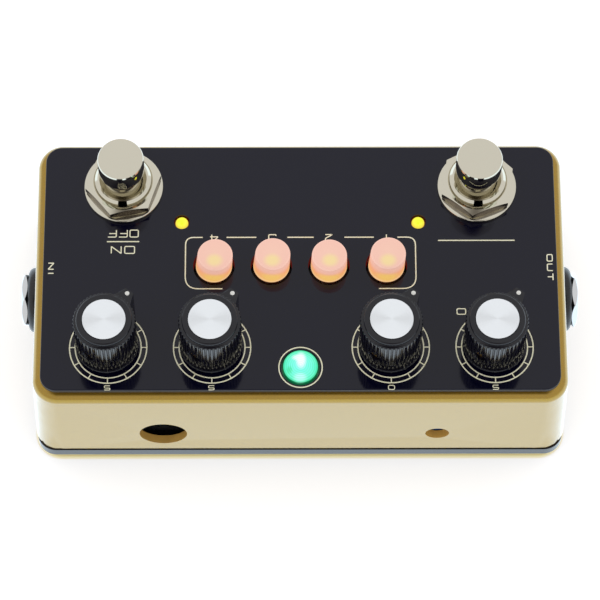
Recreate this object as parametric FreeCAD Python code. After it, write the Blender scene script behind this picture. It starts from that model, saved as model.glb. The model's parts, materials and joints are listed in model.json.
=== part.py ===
import FreeCAD, Part
import math
import os
from FreeCAD import Placement, Rotation, Vector

os.makedirs("parts", exist_ok=True)

# All sizes are in millimetres. +Z is up, the origin is on the floor under the middle of the box.
# The power socket and the trimmer face -Y, the foot switches stand near +Y, the output jack faces +X.

# Heights of the stack, from the floor up
foot_height = 1.6
cover_side = 2.8
body_height = 26.1
plate_thickness = 1.0

# Die-cast body
body_half_x = 56.0
body_half_y = 30.05
body_corner = 5.8
draft_angle = 1.4
wall = 1.7
panel_thickness = 2.2
top_edge_radius = 2.4
boss_radius = 3.9
tapped_depth = 12.0

# Face plate
plate_margin_x = 2.35
plate_margin_y = 2.2
plate_corner = 3.4
plate_edge_radius = 0.25

# Base cover, its screws and feet
cover_overhang_x = -0.2
cover_overhang_y = 0.35
cover_corner = 4.0
cover_edge_radius = 0.35
cover_floor = 2.0
tongue_height = 1.8
tongue_thickness = 1.5
screw_radius = 1.7
screw_head_radius = 3.2
screw_length = 10.0
screw_recess = 1.1
cross_reach = 1.75
cross_width = 0.7
foot_radius = 5.0
foot_taper = 0.7
foot_inset_x = 14.0
foot_inset_y = 10.0

# Clearances
fit_clearance = 0.3
slip_clearance = 0.03
running_clearance = 0.05
slide_clearance = 0.12
nut_chamfer_angle = 30.0
nut_face_margin = 0.15
quarter_turn = 90.0

# Knobs and their potentiometers; the outer ones keep their distance from the corner bosses
knob_boss_gap_x = 10.3
knob_boss_gap_y = 6.05
knob_pair_pitch = 21.45
knob_gap = 1.55
knob_height = 13.0
knob_base_radius = 6.4
knob_waist_radius = 6.05
knob_top_radius = 5.95
knob_neck_radius = 5.5
knob_foot_band = 0.9
knob_top_band = 1.9
knob_top_chamfer = 0.28
knob_recess_radius = 5.45
knob_recess_depth = 1.7
knob_roof = 1.6
flute_count = 44
flute_width = 0.56
flute_depth = 0.16
pointer_angle = 35.0
pointer_reach = 8.6
pointer_root_width = 6.1
pointer_tip_width = 2.0
pointer_tip_bow = 0.12
pointer_drop = 1.75
knob_cap_radius = 4.43
knob_cap_thickness = 0.9
knob_cap_proud = 0.2
shaft_radius = 3.0
shaft_end_gap = 0.3
grub_radius = 1.25
grub_height = 5.5
grub_length = 2.5
slot_width = 0.5
slot_depth = 0.7
pot_width = 9.6
pot_depth = 11.2
pot_wall = 0.8
pot_bush_radius = 3.5
pot_rotor_radius = 4.0
pot_rotor_thickness = 2.0
pot_washer_radius = 5.0
pot_washer_thickness = 0.5
pot_nut_across = 9.0
pot_nut_thickness = 2.0

# Lit push buttons
button_pitch = 12.0
button_count = 4
button_y = 0.15
button_radius = 3.73
button_top_radius = 3.55
button_proud = 5.95
button_skirt = 0.2
button_edge_radius = 0.6
button_wall = 0.9
button_roof = 1.4
button_travel = 1.8
button_hole_radius = 4.35
stem_width = 3.0
stem_clearance = 0.12
stem_guided = 2.8
switch_width = 8.0
switch_height = 5.2
socket_wall = 0.9
socket_grip = 4.0

# Foot switches
foot_boss_gap_x = 13.0
foot_boss_gap_y = 6.15
bush_radius = 5.9
bush_proud = 4.6
bush_bore_chamfer = 0.8
bush_top_chamfer = 0.55
bush_flange_radius = 6.6
bush_flange_thickness = 0.8
keyway_width = 2.0
keyway_depth = 0.6
plunger_radius = 4.05
plunger_cap_radius = 4.85
plunger_cap_height = 4.9
plunger_cap_gap = 4.7
plunger_cap_chamfer = 0.35
plunger_collar_radius = 4.9
plunger_collar_thickness = 1.2
plunger_travel = 3.0
foot_washer_radius = 8.3
foot_washer_thickness = 0.9
foot_washer_edge = 0.22
foot_nut_across = 14.0
foot_nut_thickness = 2.7
left_nut_angle = 11.0
right_nut_angle = 21.5
lock_nut_thickness = 1.9
foot_case_width = 13.6
foot_case_height = 11.4
foot_case_corner = 1.0
lug_width = 2.2
lug_thickness = 0.8
lug_length = 4.4
lug_pitch = 4.0
lug_offset = 3.5

# Indicator lamps and the level lens
indicator_inset_x = 12.4
indicator_inset_y = 7.75
led_radius = 1.42
led_hole_gap = 0.2
led_proud = 0.95
led_rim_radius = 1.9
led_rim_thickness = 0.9
led_length = 5.2
led_leg_radius = 0.25
led_leg_pitch = 1.27
lens_edge_gap = 5.08
lens_radius = 3.58
lens_hole_radius = 4.0
lens_rim_radius = 4.3
lens_rim_thickness = 0.9
lens_proud = 0.5
lens_dome = 0.9
lens_wall = 0.9
holder_wall = 0.9
level_led_width = 3.5
level_led_height = 1.9

# Jacks in the two ends
jack_y = 0.0
jack_z = 14.4
jack_bore = 3.25
jack_sleeve_radius = 4.5
jack_width = 14.0
jack_depth = 23.8
jack_corner = 1.5
jack_mouth_chamfer = 0.4
collar_radius = 6.95
collar_height = 1.75
collar_round = 1.4
jack_nut_across = 10.6
jack_nut_thickness = 1.25
input_nut_angle = 38.6
output_nut_angle = 37.0
control_y = 12.5
control_z = 10.5
control_bore = 1.8
control_sleeve_radius = 3.0
control_width = 8.0
control_height = 6.4
control_depth = 14.0

# Power socket and trimmer in the -Y side
side_boss_gap = 21.4
side_z = 12.4
power_hole_radius = 5.0
power_wall_gap = 0.9
power_width = 9.0
power_depth = 14.3
power_below = 4.8
power_bore = 3.15
power_bore_depth = 10.0
power_pin_radius = 1.05
power_pin_recess = 0.8
power_pin_tip = 0.6
trimmer_hole_radius = 2.5
trimmer_radius = 5.0
trimmer_depth = 4.8
trimmer_neck_width = 7.0
rotor_radius = 2.1
rotor_depth = 2.2
rotor_recess = 0.2
rotor_slot_width = 0.7
rotor_slot_depth = 0.8

# Circuit board under the panel
board_drop = 7.7
board_thickness = 1.6
board_boss_gap = 4.8
board_wall_gap = 0.9
board_step_gap = 3.0
board_foot_gap = 2.4
board_rear_inset = 1.6
chip_side = 12.0
chip_height = 1.4
small_chip_length = 8.6
small_chip_width = 4.0
small_chip_height = 1.6
small_chip_x = 14.0
small_chip_pitch = 10.0
chip_capacitor_gap = 1.2
capacitor_radius = 2.5
capacitor_height = 5.8
capacitor_pitch = 7.5
capacitor_count = 5
capacitor_edge_gap = 1.0

# Levels that follow from the stack
cover_top = foot_height + cover_side
body_top = cover_top + body_height
plate_top = body_top + plate_thickness
panel_under = body_top - panel_thickness
board_top = panel_under - board_drop
board_under = board_top - board_thickness
knob_base = plate_top + knob_gap
button_xs = [button_pitch * (i - (button_count - 1) / 2) for i in range(button_count)]

# Places that follow from the outline of the body
plate_half_x = body_half_x - plate_margin_x
plate_half_y = body_half_y - plate_margin_y
boss_x = body_half_x - body_corner
boss_y = body_half_y - body_corner
knob_outer_x = boss_x - knob_boss_gap_x
knob_inner_x = knob_outer_x - knob_pair_pitch
knob_xs = [-knob_outer_x, -knob_inner_x, knob_inner_x, knob_outer_x]
knob_y = knob_boss_gap_y - boss_y
foot_switch_x = boss_x - foot_boss_gap_x
foot_switch_y = boss_y - foot_boss_gap_y
indicator_x = foot_switch_x - indicator_inset_x
indicator_y = foot_switch_y - indicator_inset_y
lens_y = lens_edge_gap - plate_half_y
power_x = side_boss_gap - boss_x
trimmer_x = boss_x - side_boss_gap
board_wide_half_x = boss_x - board_boss_gap
board_narrow_half_x = foot_switch_x - foot_case_width / 2 - board_foot_gap
board_step_y = knob_y + pot_depth / 2 + board_step_gap
board_rear_y = foot_switch_y - board_rear_inset
capacitor_rear_y = board_rear_y - capacitor_edge_gap - capacitor_radius
chip_rear_y = capacitor_rear_y - capacitor_radius - chip_capacitor_gap - small_chip_length / 2


def narrowing(z):
    """How far each drafted wall has leaned inwards at height z."""
    return (z - cover_top) * math.tan(math.radians(draft_angle))


def wall_x(z):
    """Outer half length of the body at height z."""
    return body_half_x - narrowing(z)


def wall_y(z):
    """Outer half width of the body at height z."""
    return body_half_y - narrowing(z)


def rounded_outline(half_x, half_y, radius, z):
    """Closed wire of a rectangle with round corners, level at height z."""
    inner_x = half_x - radius
    inner_y = half_y - radius
    arcs = []
    for quarter, (sx, sy) in enumerate([(1, 1), (-1, 1), (-1, -1), (1, -1)]):
        centre = Vector(sx * inner_x, sy * inner_y, z)
        start = quarter_turn * quarter
        arcs.append(Part.makeCircle(radius, centre, Vector(0, 0, 1), start, start + quarter_turn))
    edges = []
    for arc, following in zip(arcs, arcs[1:] + arcs[:1]):
        end = arc.valueAt(arc.LastParameter)
        edges += [arc, Part.makeLine(end, following.valueAt(following.FirstParameter))]
    return Part.Wire(edges)


def rounded_block(half_x, half_y, radius, low, high):
    """Upright block with round corners between two heights."""
    face = Part.Face(rounded_outline(half_x, half_y, radius, low))
    return face.extrude(Vector(0, 0, high - low))


def drafted_block(half_x, half_y, radius, low, high):
    """Block whose sides lean inwards by the draft angle, given by its outline at the cover's level."""
    wires = []
    for z in (low, high):
        lean = narrowing(z)
        wires.append(rounded_outline(half_x - lean, half_y - lean, radius - lean, z))
    return Part.makeLoft(wires, True, True)


def rod(radius, x, y, low, high):
    """Upright cylinder between two heights."""
    return Part.makeCylinder(radius, high - low, Vector(x, y, low))


def rod_along(radius, start, direction, length):
    """Cylinder from a point along a direction."""
    return Part.makeCylinder(radius, length, start, direction)


def block(x_low, x_high, y_low, y_high, z_low, z_high):
    """Plain block given by its six sides."""
    return Part.makeBox(x_high - x_low, y_high - y_low, z_high - z_low, Vector(x_low, y_low, z_low))


def turned(points):
    """Solid turned about the Z axis from (radius, height) points of its half section."""
    corners = [Vector(r, 0, z) for r, z in points]
    face = Part.Face(Part.makePolygon(corners + corners[:1]))
    return face.revolve(Vector(0, 0, 0), Vector(0, 0, 1), 360)


def nut(across, hole, low, high, angle):
    """Hexagonal nut on the Z axis, its corners turned off by a shallow cone at the upper face."""
    corner = across / math.sqrt(3)
    points = []
    for i in range(7):
        turn = math.radians(angle + 60 * i)
        points.append(Vector(corner * math.cos(turn), corner * math.sin(turn), low))
    prism = Part.Face(Part.makePolygon(points)).extrude(Vector(0, 0, high - low))
    flat = across / 2 - nut_face_margin
    drop = (corner - flat) * math.tan(math.radians(nut_chamfer_angle))
    envelope = turned([(hole, low), (corner, low), (corner, high - drop), (flat, high), (hole, high)])
    return prism.common(envelope)


def moved(shape, x=0.0, y=0.0, z=0.0):
    """Copy of a shape, shifted."""
    copy = shape.copy()
    copy.translate(Vector(x, y, z))
    return copy


def laid_along_x(shape, side, x, y, z):
    """Copy of a shape built up the Z axis, laid so that +Z points out of the end given by side."""
    copy = shape.copy()
    copy.Placement = Placement(Vector(x, y, z), Rotation(Vector(0, 0, 1), Vector(side, 0, 0)))
    return copy


def rounded_edges(shape, radius, level):
    """Rounds every edge that lies wholly at one height."""
    edges = []
    for edge in shape.Edges:
        if all(abs(vertex.Z - level) < 1e-6 for vertex in edge.Vertexes):
            edges.append(edge)
    return shape.makeFillet(radius, edges)


def save(name, *shapes):
    """Writes one sub-part, which may hold several separate solids."""
    shape = shapes[0] if len(shapes) == 1 else Part.makeCompound(list(shapes))
    if not shape.isValid():
        raise ValueError(name + " is not a valid shape")
    shape.exportStep("parts/" + name + ".step")
    size = shape.BoundBox
    print("%-20s %2d solids  %6.1f x %5.1f x %5.1f" % (
        name, len(shape.Solids), size.XLength, size.YLength, size.ZLength))


def panel_cuts(low, high):
    """Every hole that passes straight down through the face plate and the panel."""
    cuts = [rod(pot_bush_radius + slip_clearance, x, knob_y, low, high) for x in knob_xs]
    cuts += [rod(button_hole_radius, x, button_y, low, high) for x in button_xs]
    for side in (-1, 1):
        cuts.append(rod(bush_radius + slip_clearance, side * foot_switch_x, foot_switch_y, low, high))
        cuts.append(rod(led_radius + led_hole_gap, side * indicator_x, indicator_y, low, high))
    cuts.append(rod(lens_hole_radius, 0, lens_y, low, high))
    return cuts


def wall_cuts():
    """Holes through the end walls and the -Y wall."""
    reach = body_half_x + wall
    inner = wall_x(body_top) - 2 * wall
    cuts = []
    jack_hole = jack_sleeve_radius + slip_clearance
    for side in (-1, 1):
        start = Vector(side * inner, jack_y, jack_z)
        cuts.append(rod_along(jack_hole, start, Vector(side, 0, 0), reach - inner))
    start = Vector(-inner, control_y, control_z)
    cuts.append(rod_along(control_sleeve_radius + slip_clearance, start, Vector(-1, 0, 0), reach - inner))
    inner = wall_y(body_top) - 2 * wall
    reach = body_half_y + wall
    for x, radius in ((power_x, power_hole_radius), (trimmer_x, trimmer_hole_radius)):
        cuts.append(rod_along(radius, Vector(x, -inner, side_z), Vector(0, -1, 0), reach - inner))
    return cuts


def make_enclosure():
    """Die-cast shell, open below, with a tapped boss in each corner."""
    outer = drafted_block(body_half_x, body_half_y, body_corner, cover_top, body_top)
    outer = rounded_edges(outer, top_edge_radius, body_top)
    inner = drafted_block(body_half_x - wall, body_half_y - wall, body_corner - wall,
                          cover_top, panel_under)
    shell = outer.cut(inner)
    bosses = []
    tapped = []
    for sx in (-1, 1):
        for sy in (-1, 1):
            bosses.append(rod(boss_radius, sx * boss_x, sy * boss_y, cover_top, panel_under))
            tapped.append(rod(screw_radius + slip_clearance, sx * boss_x, sy * boss_y,
                              cover_top, cover_top + tapped_depth))
    shell = shell.multiFuse([boss.common(outer) for boss in bosses])
    shell = shell.cut(tapped + panel_cuts(panel_under, body_top) + wall_cuts())
    save("enclosure", shell)


def make_face_plate():
    """Printed plate on top of the body, with the panel's own holes."""
    plate = rounded_block(plate_half_x, plate_half_y, plate_corner, body_top, plate_top)
    plate = rounded_edges(plate, plate_edge_radius, plate_top)
    save("face_plate", plate.cut(panel_cuts(body_top, plate_top)))


def make_base_cover():
    """Cast cover with a tongue that drops inside the body's walls."""
    half_x = body_half_x + cover_overhang_x
    half_y = body_half_y + cover_overhang_y
    cover = rounded_block(half_x, half_y, cover_corner, foot_height, cover_top)
    cover = rounded_edges(cover, cover_edge_radius, foot_height)
    tongue_x = body_half_x - wall - fit_clearance - narrowing(cover_top + tongue_height)
    tongue_y = body_half_y - wall - fit_clearance - narrowing(cover_top + tongue_height)
    tongue_corner = body_corner - wall - fit_clearance
    tongue = rounded_block(tongue_x, tongue_y, tongue_corner, cover_top, cover_top + tongue_height)
    pocket = rounded_block(tongue_x - tongue_thickness, tongue_y - tongue_thickness,
                           tongue_corner - tongue_thickness, foot_height + cover_floor,
                           cover_top + tongue_height)
    cover = cover.fuse(tongue).cut(pocket)
    seats = []
    holes = []
    for sx in (-1, 1):
        for sy in (-1, 1):
            x = sx * boss_x
            y = sy * boss_y
            seats.append(rod(boss_radius + fit_clearance, x, y, foot_height, cover_top))
            holes.append(rod(boss_radius + fit_clearance, x, y, cover_top, cover_top + tongue_height))
            holes.append(moved(countersink(slip_clearance), x, y))
            holes.append(rod(screw_radius + slip_clearance, x, y, foot_height, cover_top))
    cover = cover.multiFuse(seats).removeSplitter().cut(holes)
    save("base_cover", cover)


def countersink(gap):
    """Cone of a countersunk head whose flat face is level with the cover's underside."""
    wide = screw_head_radius + gap
    narrow = screw_radius + gap
    return Part.makeCone(wide, narrow, wide - narrow, Vector(0, 0, foot_height))


def make_base_screws():
    """Countersunk screws with a cross recess."""
    shank = rod(screw_radius, 0, 0, foot_height, foot_height + screw_length)
    head = countersink(0)
    screw = shank.fuse(head).removeSplitter()
    half = cross_width / 2
    for x, y in ((cross_reach, half), (half, cross_reach)):
        screw = screw.cut(block(-x, x, -y, y, foot_height, foot_height + screw_recess))
    save("base_screws", *[moved(screw, sx * boss_x, sy * boss_y) for sx in (-1, 1) for sy in (-1, 1)])


def make_rubber_feet():
    """Low stick-on pads under the cover."""
    foot = turned([(0, 0), (foot_radius - foot_taper, 0), (foot_radius, foot_height), (0, foot_height)])
    x = body_half_x - foot_inset_x
    y = body_half_y - foot_inset_y
    save("rubber_feet", *[moved(foot, sx * x, sy * y) for sx in (-1, 1) for sy in (-1, 1)])


def make_main_board():
    """Board in a T shape: wide under the knobs, narrow between the foot switches."""
    front = -(wall_y(board_top) - wall - board_wall_gap)
    corner_x = boss_x - boss_radius - board_wall_gap
    corner_y = -(boss_y - boss_radius - board_wall_gap)
    points = [
        (-corner_x, front), (corner_x, front), (corner_x, corner_y), (board_wide_half_x, corner_y),
        (board_wide_half_x, board_step_y), (board_narrow_half_x, board_step_y),
        (board_narrow_half_x, board_rear_y), (-board_narrow_half_x, board_rear_y),
        (-board_narrow_half_x, board_step_y), (-board_wide_half_x, board_step_y),
        (-board_wide_half_x, corner_y), (-corner_x, corner_y),
    ]
    corners = [Vector(x, y, board_under) for x, y in points]
    outline = Part.makePolygon(corners + corners[:1])
    save("main_board", Part.Face(outline).extrude(Vector(0, 0, board_thickness)))


def make_board_parts():
    """Chips and capacitors that hang under the board."""
    low = board_under - chip_height
    chips = [block(-chip_side / 2, chip_side / 2, -chip_side / 2, chip_side / 2, low, board_under)]
    low = board_under - small_chip_height
    half_x = small_chip_width / 2
    half_y = small_chip_length / 2
    for side in (-1, 1):
        x = side * small_chip_x
        for y in (chip_rear_y - small_chip_pitch, chip_rear_y):
            chips.append(block(x - half_x, x + half_x, y - half_y, y + half_y, low, board_under))
    save("board_chips", *chips)
    low = board_under - capacitor_height
    cans = []
    for side in (-1, 0, 1):
        cans.append(rod(capacitor_radius, side * small_chip_x, capacitor_rear_y, low, board_under))
    for i in range(capacitor_count):
        x = capacitor_pitch * (i - (capacitor_count - 1) / 2)
        cans.append(rod(capacitor_radius, x, knob_y, low, board_under))
    save("board_capacitors", *cans)


def make_pots():
    """Potentiometers on the board, clamped to the panel by washer and nut."""
    case = block(-pot_width / 2, pot_width / 2, -pot_depth / 2, pot_depth / 2, board_top, panel_under)
    bush_top = knob_base + knob_recess_depth - fit_clearance
    bush = rod(pot_bush_radius, 0, 0, panel_under, bush_top)
    cavity_top = panel_under - pot_wall
    cavity_low = board_top + pot_wall
    room = rod(pot_rotor_radius + fit_clearance, 0, 0, cavity_low, cavity_top)
    bore = rod(shaft_radius + running_clearance, 0, 0, cavity_top, bush_top)
    pot = case.fuse(bush).cut([room, bore])
    save("pot_bodies", *[moved(pot, x, knob_y) for x in knob_xs])
    hole = pot_bush_radius + slip_clearance
    nut_low = plate_top + pot_washer_thickness
    nut_high = nut_low + pot_nut_thickness
    washer = rod(pot_washer_radius, 0, 0, plate_top, nut_low).cut(rod(hole, 0, 0, plate_top, nut_low))
    save("pot_washers", *[moved(washer, x, knob_y) for x in knob_xs])
    top_nut = nut(pot_nut_across, hole, nut_low, nut_high, 0)
    save("pot_nuts", *[moved(top_nut, x, knob_y) for x in knob_xs])
    rotor_top = cavity_top - fit_clearance
    rotor_low = rotor_top - pot_rotor_thickness
    shaft_top = knob_base + knob_height - knob_roof - shaft_end_gap
    rotor = rod(pot_rotor_radius, 0, 0, rotor_low, rotor_top)
    return rotor.fuse(rod(shaft_radius, 0, 0, rotor_low, shaft_top)).removeSplitter()


def on_circle(radius, turn, z):
    """Point at an angle, in radians, on a level circle about the Z axis."""
    return Vector(radius * math.cos(turn), radius * math.sin(turn), z)


def fluted_outline(z):
    """Closed wire of the grip: lands on a circle with round flutes between them."""
    pitch = 2 * math.pi / flute_count
    half_flute = math.asin(flute_width / 2 / knob_waist_radius)
    edges = []
    for i in range(flute_count):
        middle = pitch * (i + 0.5)
        before = on_circle(knob_waist_radius, middle - half_flute, z)
        bottom = on_circle(knob_waist_radius - flute_depth, middle, z)
        after = on_circle(knob_waist_radius, middle + half_flute, z)
        following = on_circle(knob_waist_radius, middle + pitch - half_flute, z)
        edges.append(Part.Arc(before, bottom, after).toShape())
        edges.append(Part.makeLine(after, following))
    return Part.Wire(edges)


def pointer_fin():
    """Upright wedge of the knob's pointer, along +X, with a slightly bowed tip."""
    root = knob_top_radius / 2
    tip = pointer_reach - pointer_tip_bow
    right = Vector(tip, -pointer_tip_width / 2, 0)
    left = Vector(tip, pointer_tip_width / 2, 0)
    right_root = Vector(root, -pointer_root_width / 2, 0)
    left_root = Vector(root, pointer_root_width / 2, 0)
    edges = [
        Part.makeLine(right_root, right),
        Part.Arc(right, Vector(pointer_reach, 0, 0), left).toShape(),
        Part.makeLine(left, left_root),
        Part.makeLine(left_root, right_root),
    ]
    return Part.Face(Part.Wire(edges)).extrude(Vector(0, 0, knob_height - pointer_drop))


def make_knob_shape():
    """Fluted knob with a pointer along +X, standing on z = 0."""
    waist = knob_foot_band + knob_base_radius - knob_waist_radius
    shoulder = knob_height - knob_top_band
    foot = turned([(0, 0), (knob_base_radius, 0), (knob_base_radius, knob_foot_band),
                   (knob_waist_radius, waist), (0, waist)])
    grip = Part.Face(fluted_outline(waist)).extrude(Vector(0, 0, shoulder - waist))
    crown = turned([(0, shoulder), (knob_neck_radius, shoulder),
                    (knob_top_radius, knob_height - knob_top_chamfer),
                    (knob_top_radius - knob_top_chamfer, knob_height), (0, knob_height)])
    body = foot.multiFuse([grip, crown, pointer_fin()]).removeSplitter()
    grub_start = Vector(0, 0, grub_height)
    cap_low = knob_height - knob_cap_thickness + knob_cap_proud
    return body.cut([
        rod(knob_recess_radius, 0, 0, 0, knob_recess_depth),
        rod(shaft_radius + slip_clearance, 0, 0, 0, knob_height - knob_roof),
        rod(knob_cap_radius + slip_clearance, 0, 0, cap_low, knob_height),
        rod_along(grub_radius + slip_clearance, grub_start, Vector(-1, 0, 0), pointer_reach),
    ])


def make_knobs(shaft):
    """Four equal knobs, each with its shaft, cap disc and grub screw, all at their lowest setting."""
    knob = make_knob_shape()
    cap_low = knob_height - knob_cap_thickness + knob_cap_proud
    cap_high = knob_height + knob_cap_proud
    edge = knob_cap_proud / 2
    cap = turned([(0, cap_low), (knob_cap_radius, cap_low), (knob_cap_radius, cap_high - edge),
                  (knob_cap_radius - edge, cap_high), (0, cap_high)])
    grub_start = Vector(-shaft_radius, 0, grub_height)
    grub = rod_along(grub_radius, grub_start, Vector(-1, 0, 0), grub_length)
    outer = -shaft_radius - grub_length
    grub = grub.cut(block(outer, outer + slot_depth, -grub_radius, grub_radius,
                          grub_height - slot_width / 2, grub_height + slot_width / 2))
    for number, x in enumerate(knob_xs, 1):
        spot = Placement(Vector(x, knob_y, knob_base), Rotation(Vector(0, 0, 1), quarter_turn - pointer_angle))
        for name, shape in (("knob", knob), ("knob_cap", cap), ("knob_screw", grub)):
            placed = shape.copy()
            placed.Placement = spot
            save("%s_%d" % (name, number), placed)
        save("knob_shaft_%d" % number, moved(shaft, x, knob_y))


def make_buttons():
    """Lit push buttons: a switch on the board, a square stem and a hollow cap."""
    switch_top = board_top + switch_height
    well = stem_width / 2 + stem_clearance
    stem_low = switch_top - stem_guided
    floor = stem_low - button_travel - stem_clearance
    side = switch_width / 2
    case = block(-side, side, -side, side, board_top, switch_top)
    case = case.cut(block(-well, well, -well, well, floor, switch_top))
    save("button_switches", *[moved(case, x, button_y) for x in button_xs])
    cap_low = plate_top - button_skirt
    cap_top = plate_top + button_proud
    roof = cap_top - button_roof
    grip_low = roof - socket_grip
    cap = Part.makeCone(button_radius, button_top_radius, cap_top - cap_low, Vector(0, 0, cap_low))
    cap = rounded_edges(cap, button_edge_radius, cap_top)
    socket = stem_width / 2 + slip_clearance
    post = socket + socket_wall
    hollow = Part.makeCone(button_radius - button_wall, button_top_radius - button_wall, roof - cap_low,
                           Vector(0, 0, cap_low))
    hollow = hollow.cut(block(-post, post, -post, post, grip_low, roof))
    cap = cap.cut([hollow, block(-socket, socket, -socket, socket, grip_low, roof)])
    half = stem_width / 2
    stem = block(-half, half, -half, half, stem_low, roof)
    for number, x in enumerate(reversed(button_xs), 1):
        save("button_cap_%d" % number, moved(cap, x, button_y))
        save("button_stem_%d" % number, moved(stem, x, button_y))


def make_foot_switches():
    """Foot switches: case and bush under the panel, washer and nut above it, and the plunger."""
    flange_top = panel_under - lock_nut_thickness
    case_top = flange_top - bush_flange_thickness
    case_low = case_top - foot_case_height
    bore = plunger_radius + slide_clearance
    bush_top = plate_top + bush_proud
    collar_top = case_top - fit_clearance
    collar_low = collar_top - plunger_collar_thickness
    half = foot_case_width / 2
    case = rounded_block(half, half, foot_case_corner, case_low, case_top)
    case = case.cut(rod(plunger_collar_radius + fit_clearance, 0, 0,
                        collar_low - plunger_travel - fit_clearance, case_top))
    bush = turned([
        (bore, case_top), (bush_flange_radius, case_top), (bush_flange_radius, flange_top),
        (bush_radius, flange_top), (bush_radius, bush_top - bush_top_chamfer),
        (bush_radius - bush_top_chamfer, bush_top), (bore + bush_bore_chamfer, bush_top),
        (bore, bush_top - bush_bore_chamfer),
    ])
    bush = bush.cut(block(-keyway_width / 2, keyway_width / 2, -bush_radius - 1,
                          -bush_radius + keyway_depth, flange_top, bush_top))
    hole = bush_radius + slip_clearance
    washer_top = plate_top + foot_washer_thickness
    washer = turned([(hole, plate_top), (foot_washer_radius, plate_top),
                     (foot_washer_radius, washer_top - foot_washer_edge),
                     (foot_washer_radius - foot_washer_edge, washer_top), (hole, washer_top)])
    nut_top = washer_top + foot_nut_thickness
    cap_low = bush_top + plunger_cap_gap
    cap_top = cap_low + plunger_cap_height
    plunger = turned([
        (0, collar_low), (plunger_collar_radius, collar_low), (plunger_collar_radius, collar_top),
        (plunger_radius, collar_top), (plunger_radius, cap_low),
        (plunger_cap_radius - plunger_cap_chamfer, cap_low),
        (plunger_cap_radius, cap_low + plunger_cap_chamfer),
        (plunger_cap_radius, cap_top - plunger_cap_chamfer),
        (plunger_cap_radius - plunger_cap_chamfer, cap_top), (0, cap_top),
    ])
    lugs = []
    for i in (-1, 0, 1):
        x = i * lug_pitch
        lugs.append(block(x - lug_width / 2, x + lug_width / 2, lug_offset, lug_offset + lug_thickness,
                          case_low - lug_length, case_low))
    groups = {name: [] for name in ("bodies", "bushes", "washers", "nuts", "locknuts", "lugs")}
    for name, side, angle in (("left", -1, left_nut_angle), ("right", 1, right_nut_angle)):
        x = side * foot_switch_x
        top_nut = nut(foot_nut_across, hole, washer_top, nut_top, angle)
        lock_nut = nut(foot_nut_across, hole, flange_top, panel_under, angle)
        groups["bodies"].append(moved(case, x, foot_switch_y))
        groups["bushes"].append(moved(bush, x, foot_switch_y))
        groups["washers"].append(moved(washer, x, foot_switch_y))
        groups["nuts"].append(moved(top_nut, x, foot_switch_y))
        groups["locknuts"].append(moved(lock_nut, x, foot_switch_y))
        groups["lugs"] += [moved(lug, x, foot_switch_y) for lug in lugs]
        save(name + "_foot_plunger", moved(plunger, x, foot_switch_y))
    for name, shapes in groups.items():
        save("foot_switch_" + name, *shapes)


def make_lamps():
    """Two round indicator LEDs, and the level lens in its holder over a flat LED."""
    dome_centre = plate_top + led_proud - led_radius
    rim_top = panel_under
    led_low = min(dome_centre + led_radius - led_length, rim_top - led_rim_thickness)
    led = rod(led_radius, 0, 0, led_low, dome_centre)
    led = led.fuse(Part.makeSphere(led_radius, Vector(0, 0, dome_centre)))
    led = led.fuse(rod(led_rim_radius, 0, 0, rim_top - led_rim_thickness, rim_top))
    legs = [rod(led_leg_radius, side * led_leg_pitch, 0, board_top, rim_top) for side in (-1, 1)]
    led = led.multiFuse(legs).removeSplitter()
    save("indicator_leds", *[moved(led, side * indicator_x, indicator_y) for side in (-1, 1)])
    rim_low = panel_under - lens_rim_thickness
    edge = plate_top + lens_proud
    sphere = (lens_radius ** 2 + lens_dome ** 2) / (2 * lens_dome)
    side = rod(lens_radius, 0, 0, panel_under, edge)
    crown = rod(lens_radius, 0, 0, edge, edge + lens_dome).common(
        Part.makeSphere(sphere, Vector(0, 0, edge + lens_dome - sphere)))
    rim = rod(lens_rim_radius, 0, 0, rim_low, panel_under)
    lens = side.multiFuse([crown, rim]).removeSplitter()
    lens = lens.cut(rod(lens_radius - lens_wall, 0, 0, rim_low, edge - lens_wall))
    save("level_lens", moved(lens, 0, lens_y))
    outer = lens_rim_radius - slip_clearance
    holder = rod(outer, 0, 0, board_top, rim_low).cut(rod(outer - holder_wall, 0, 0, board_top, rim_low))
    save("lens_holder", moved(holder, 0, lens_y))
    half = level_led_width / 2
    lamp = block(-half, half, -half, half, board_top, board_top + level_led_height)
    save("level_led", moved(lamp, 0, lens_y))


def make_signal_jacks():
    """Input and output jacks: body inside, black collar and hexagon nut outside."""
    half = jack_width / 2
    face = wall_x(jack_z + half) - wall
    seat = wall_x(jack_z - collar_radius)
    nut_low = seat + collar_height
    nut_high = nut_low + jack_nut_thickness
    hole = jack_sleeve_radius + slip_clearance
    body = rounded_block(half, half, jack_corner, face - jack_depth, face)
    sleeve = rod(jack_sleeve_radius, 0, 0, face, nut_high)
    mouth = Part.makeCone(jack_bore, jack_bore + jack_mouth_chamfer, jack_mouth_chamfer,
                          Vector(0, 0, nut_high - jack_mouth_chamfer))
    jack = body.fuse(sleeve).cut([rod(jack_bore, 0, 0, face - jack_depth, nut_high), mouth])
    collar = rounded_edges(rod(collar_radius, 0, 0, seat, nut_low), collar_round, nut_low)
    collar = collar.cut(rod(hole, 0, 0, seat, nut_low))
    collars = []
    nuts = []
    for name, side, angle in (("input", -1, input_nut_angle), ("output", 1, output_nut_angle)):
        end_nut = nut(jack_nut_across, hole, nut_low, nut_high, angle)
        save(name + "_jack", laid_along_x(jack, side, 0, jack_y, jack_z))
        collars.append(laid_along_x(collar, side, 0, jack_y, jack_z))
        nuts.append(laid_along_x(end_nut, side, 0, jack_y, jack_z))
    save("jack_collars", *collars)
    save("jack_nuts", *nuts)


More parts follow.
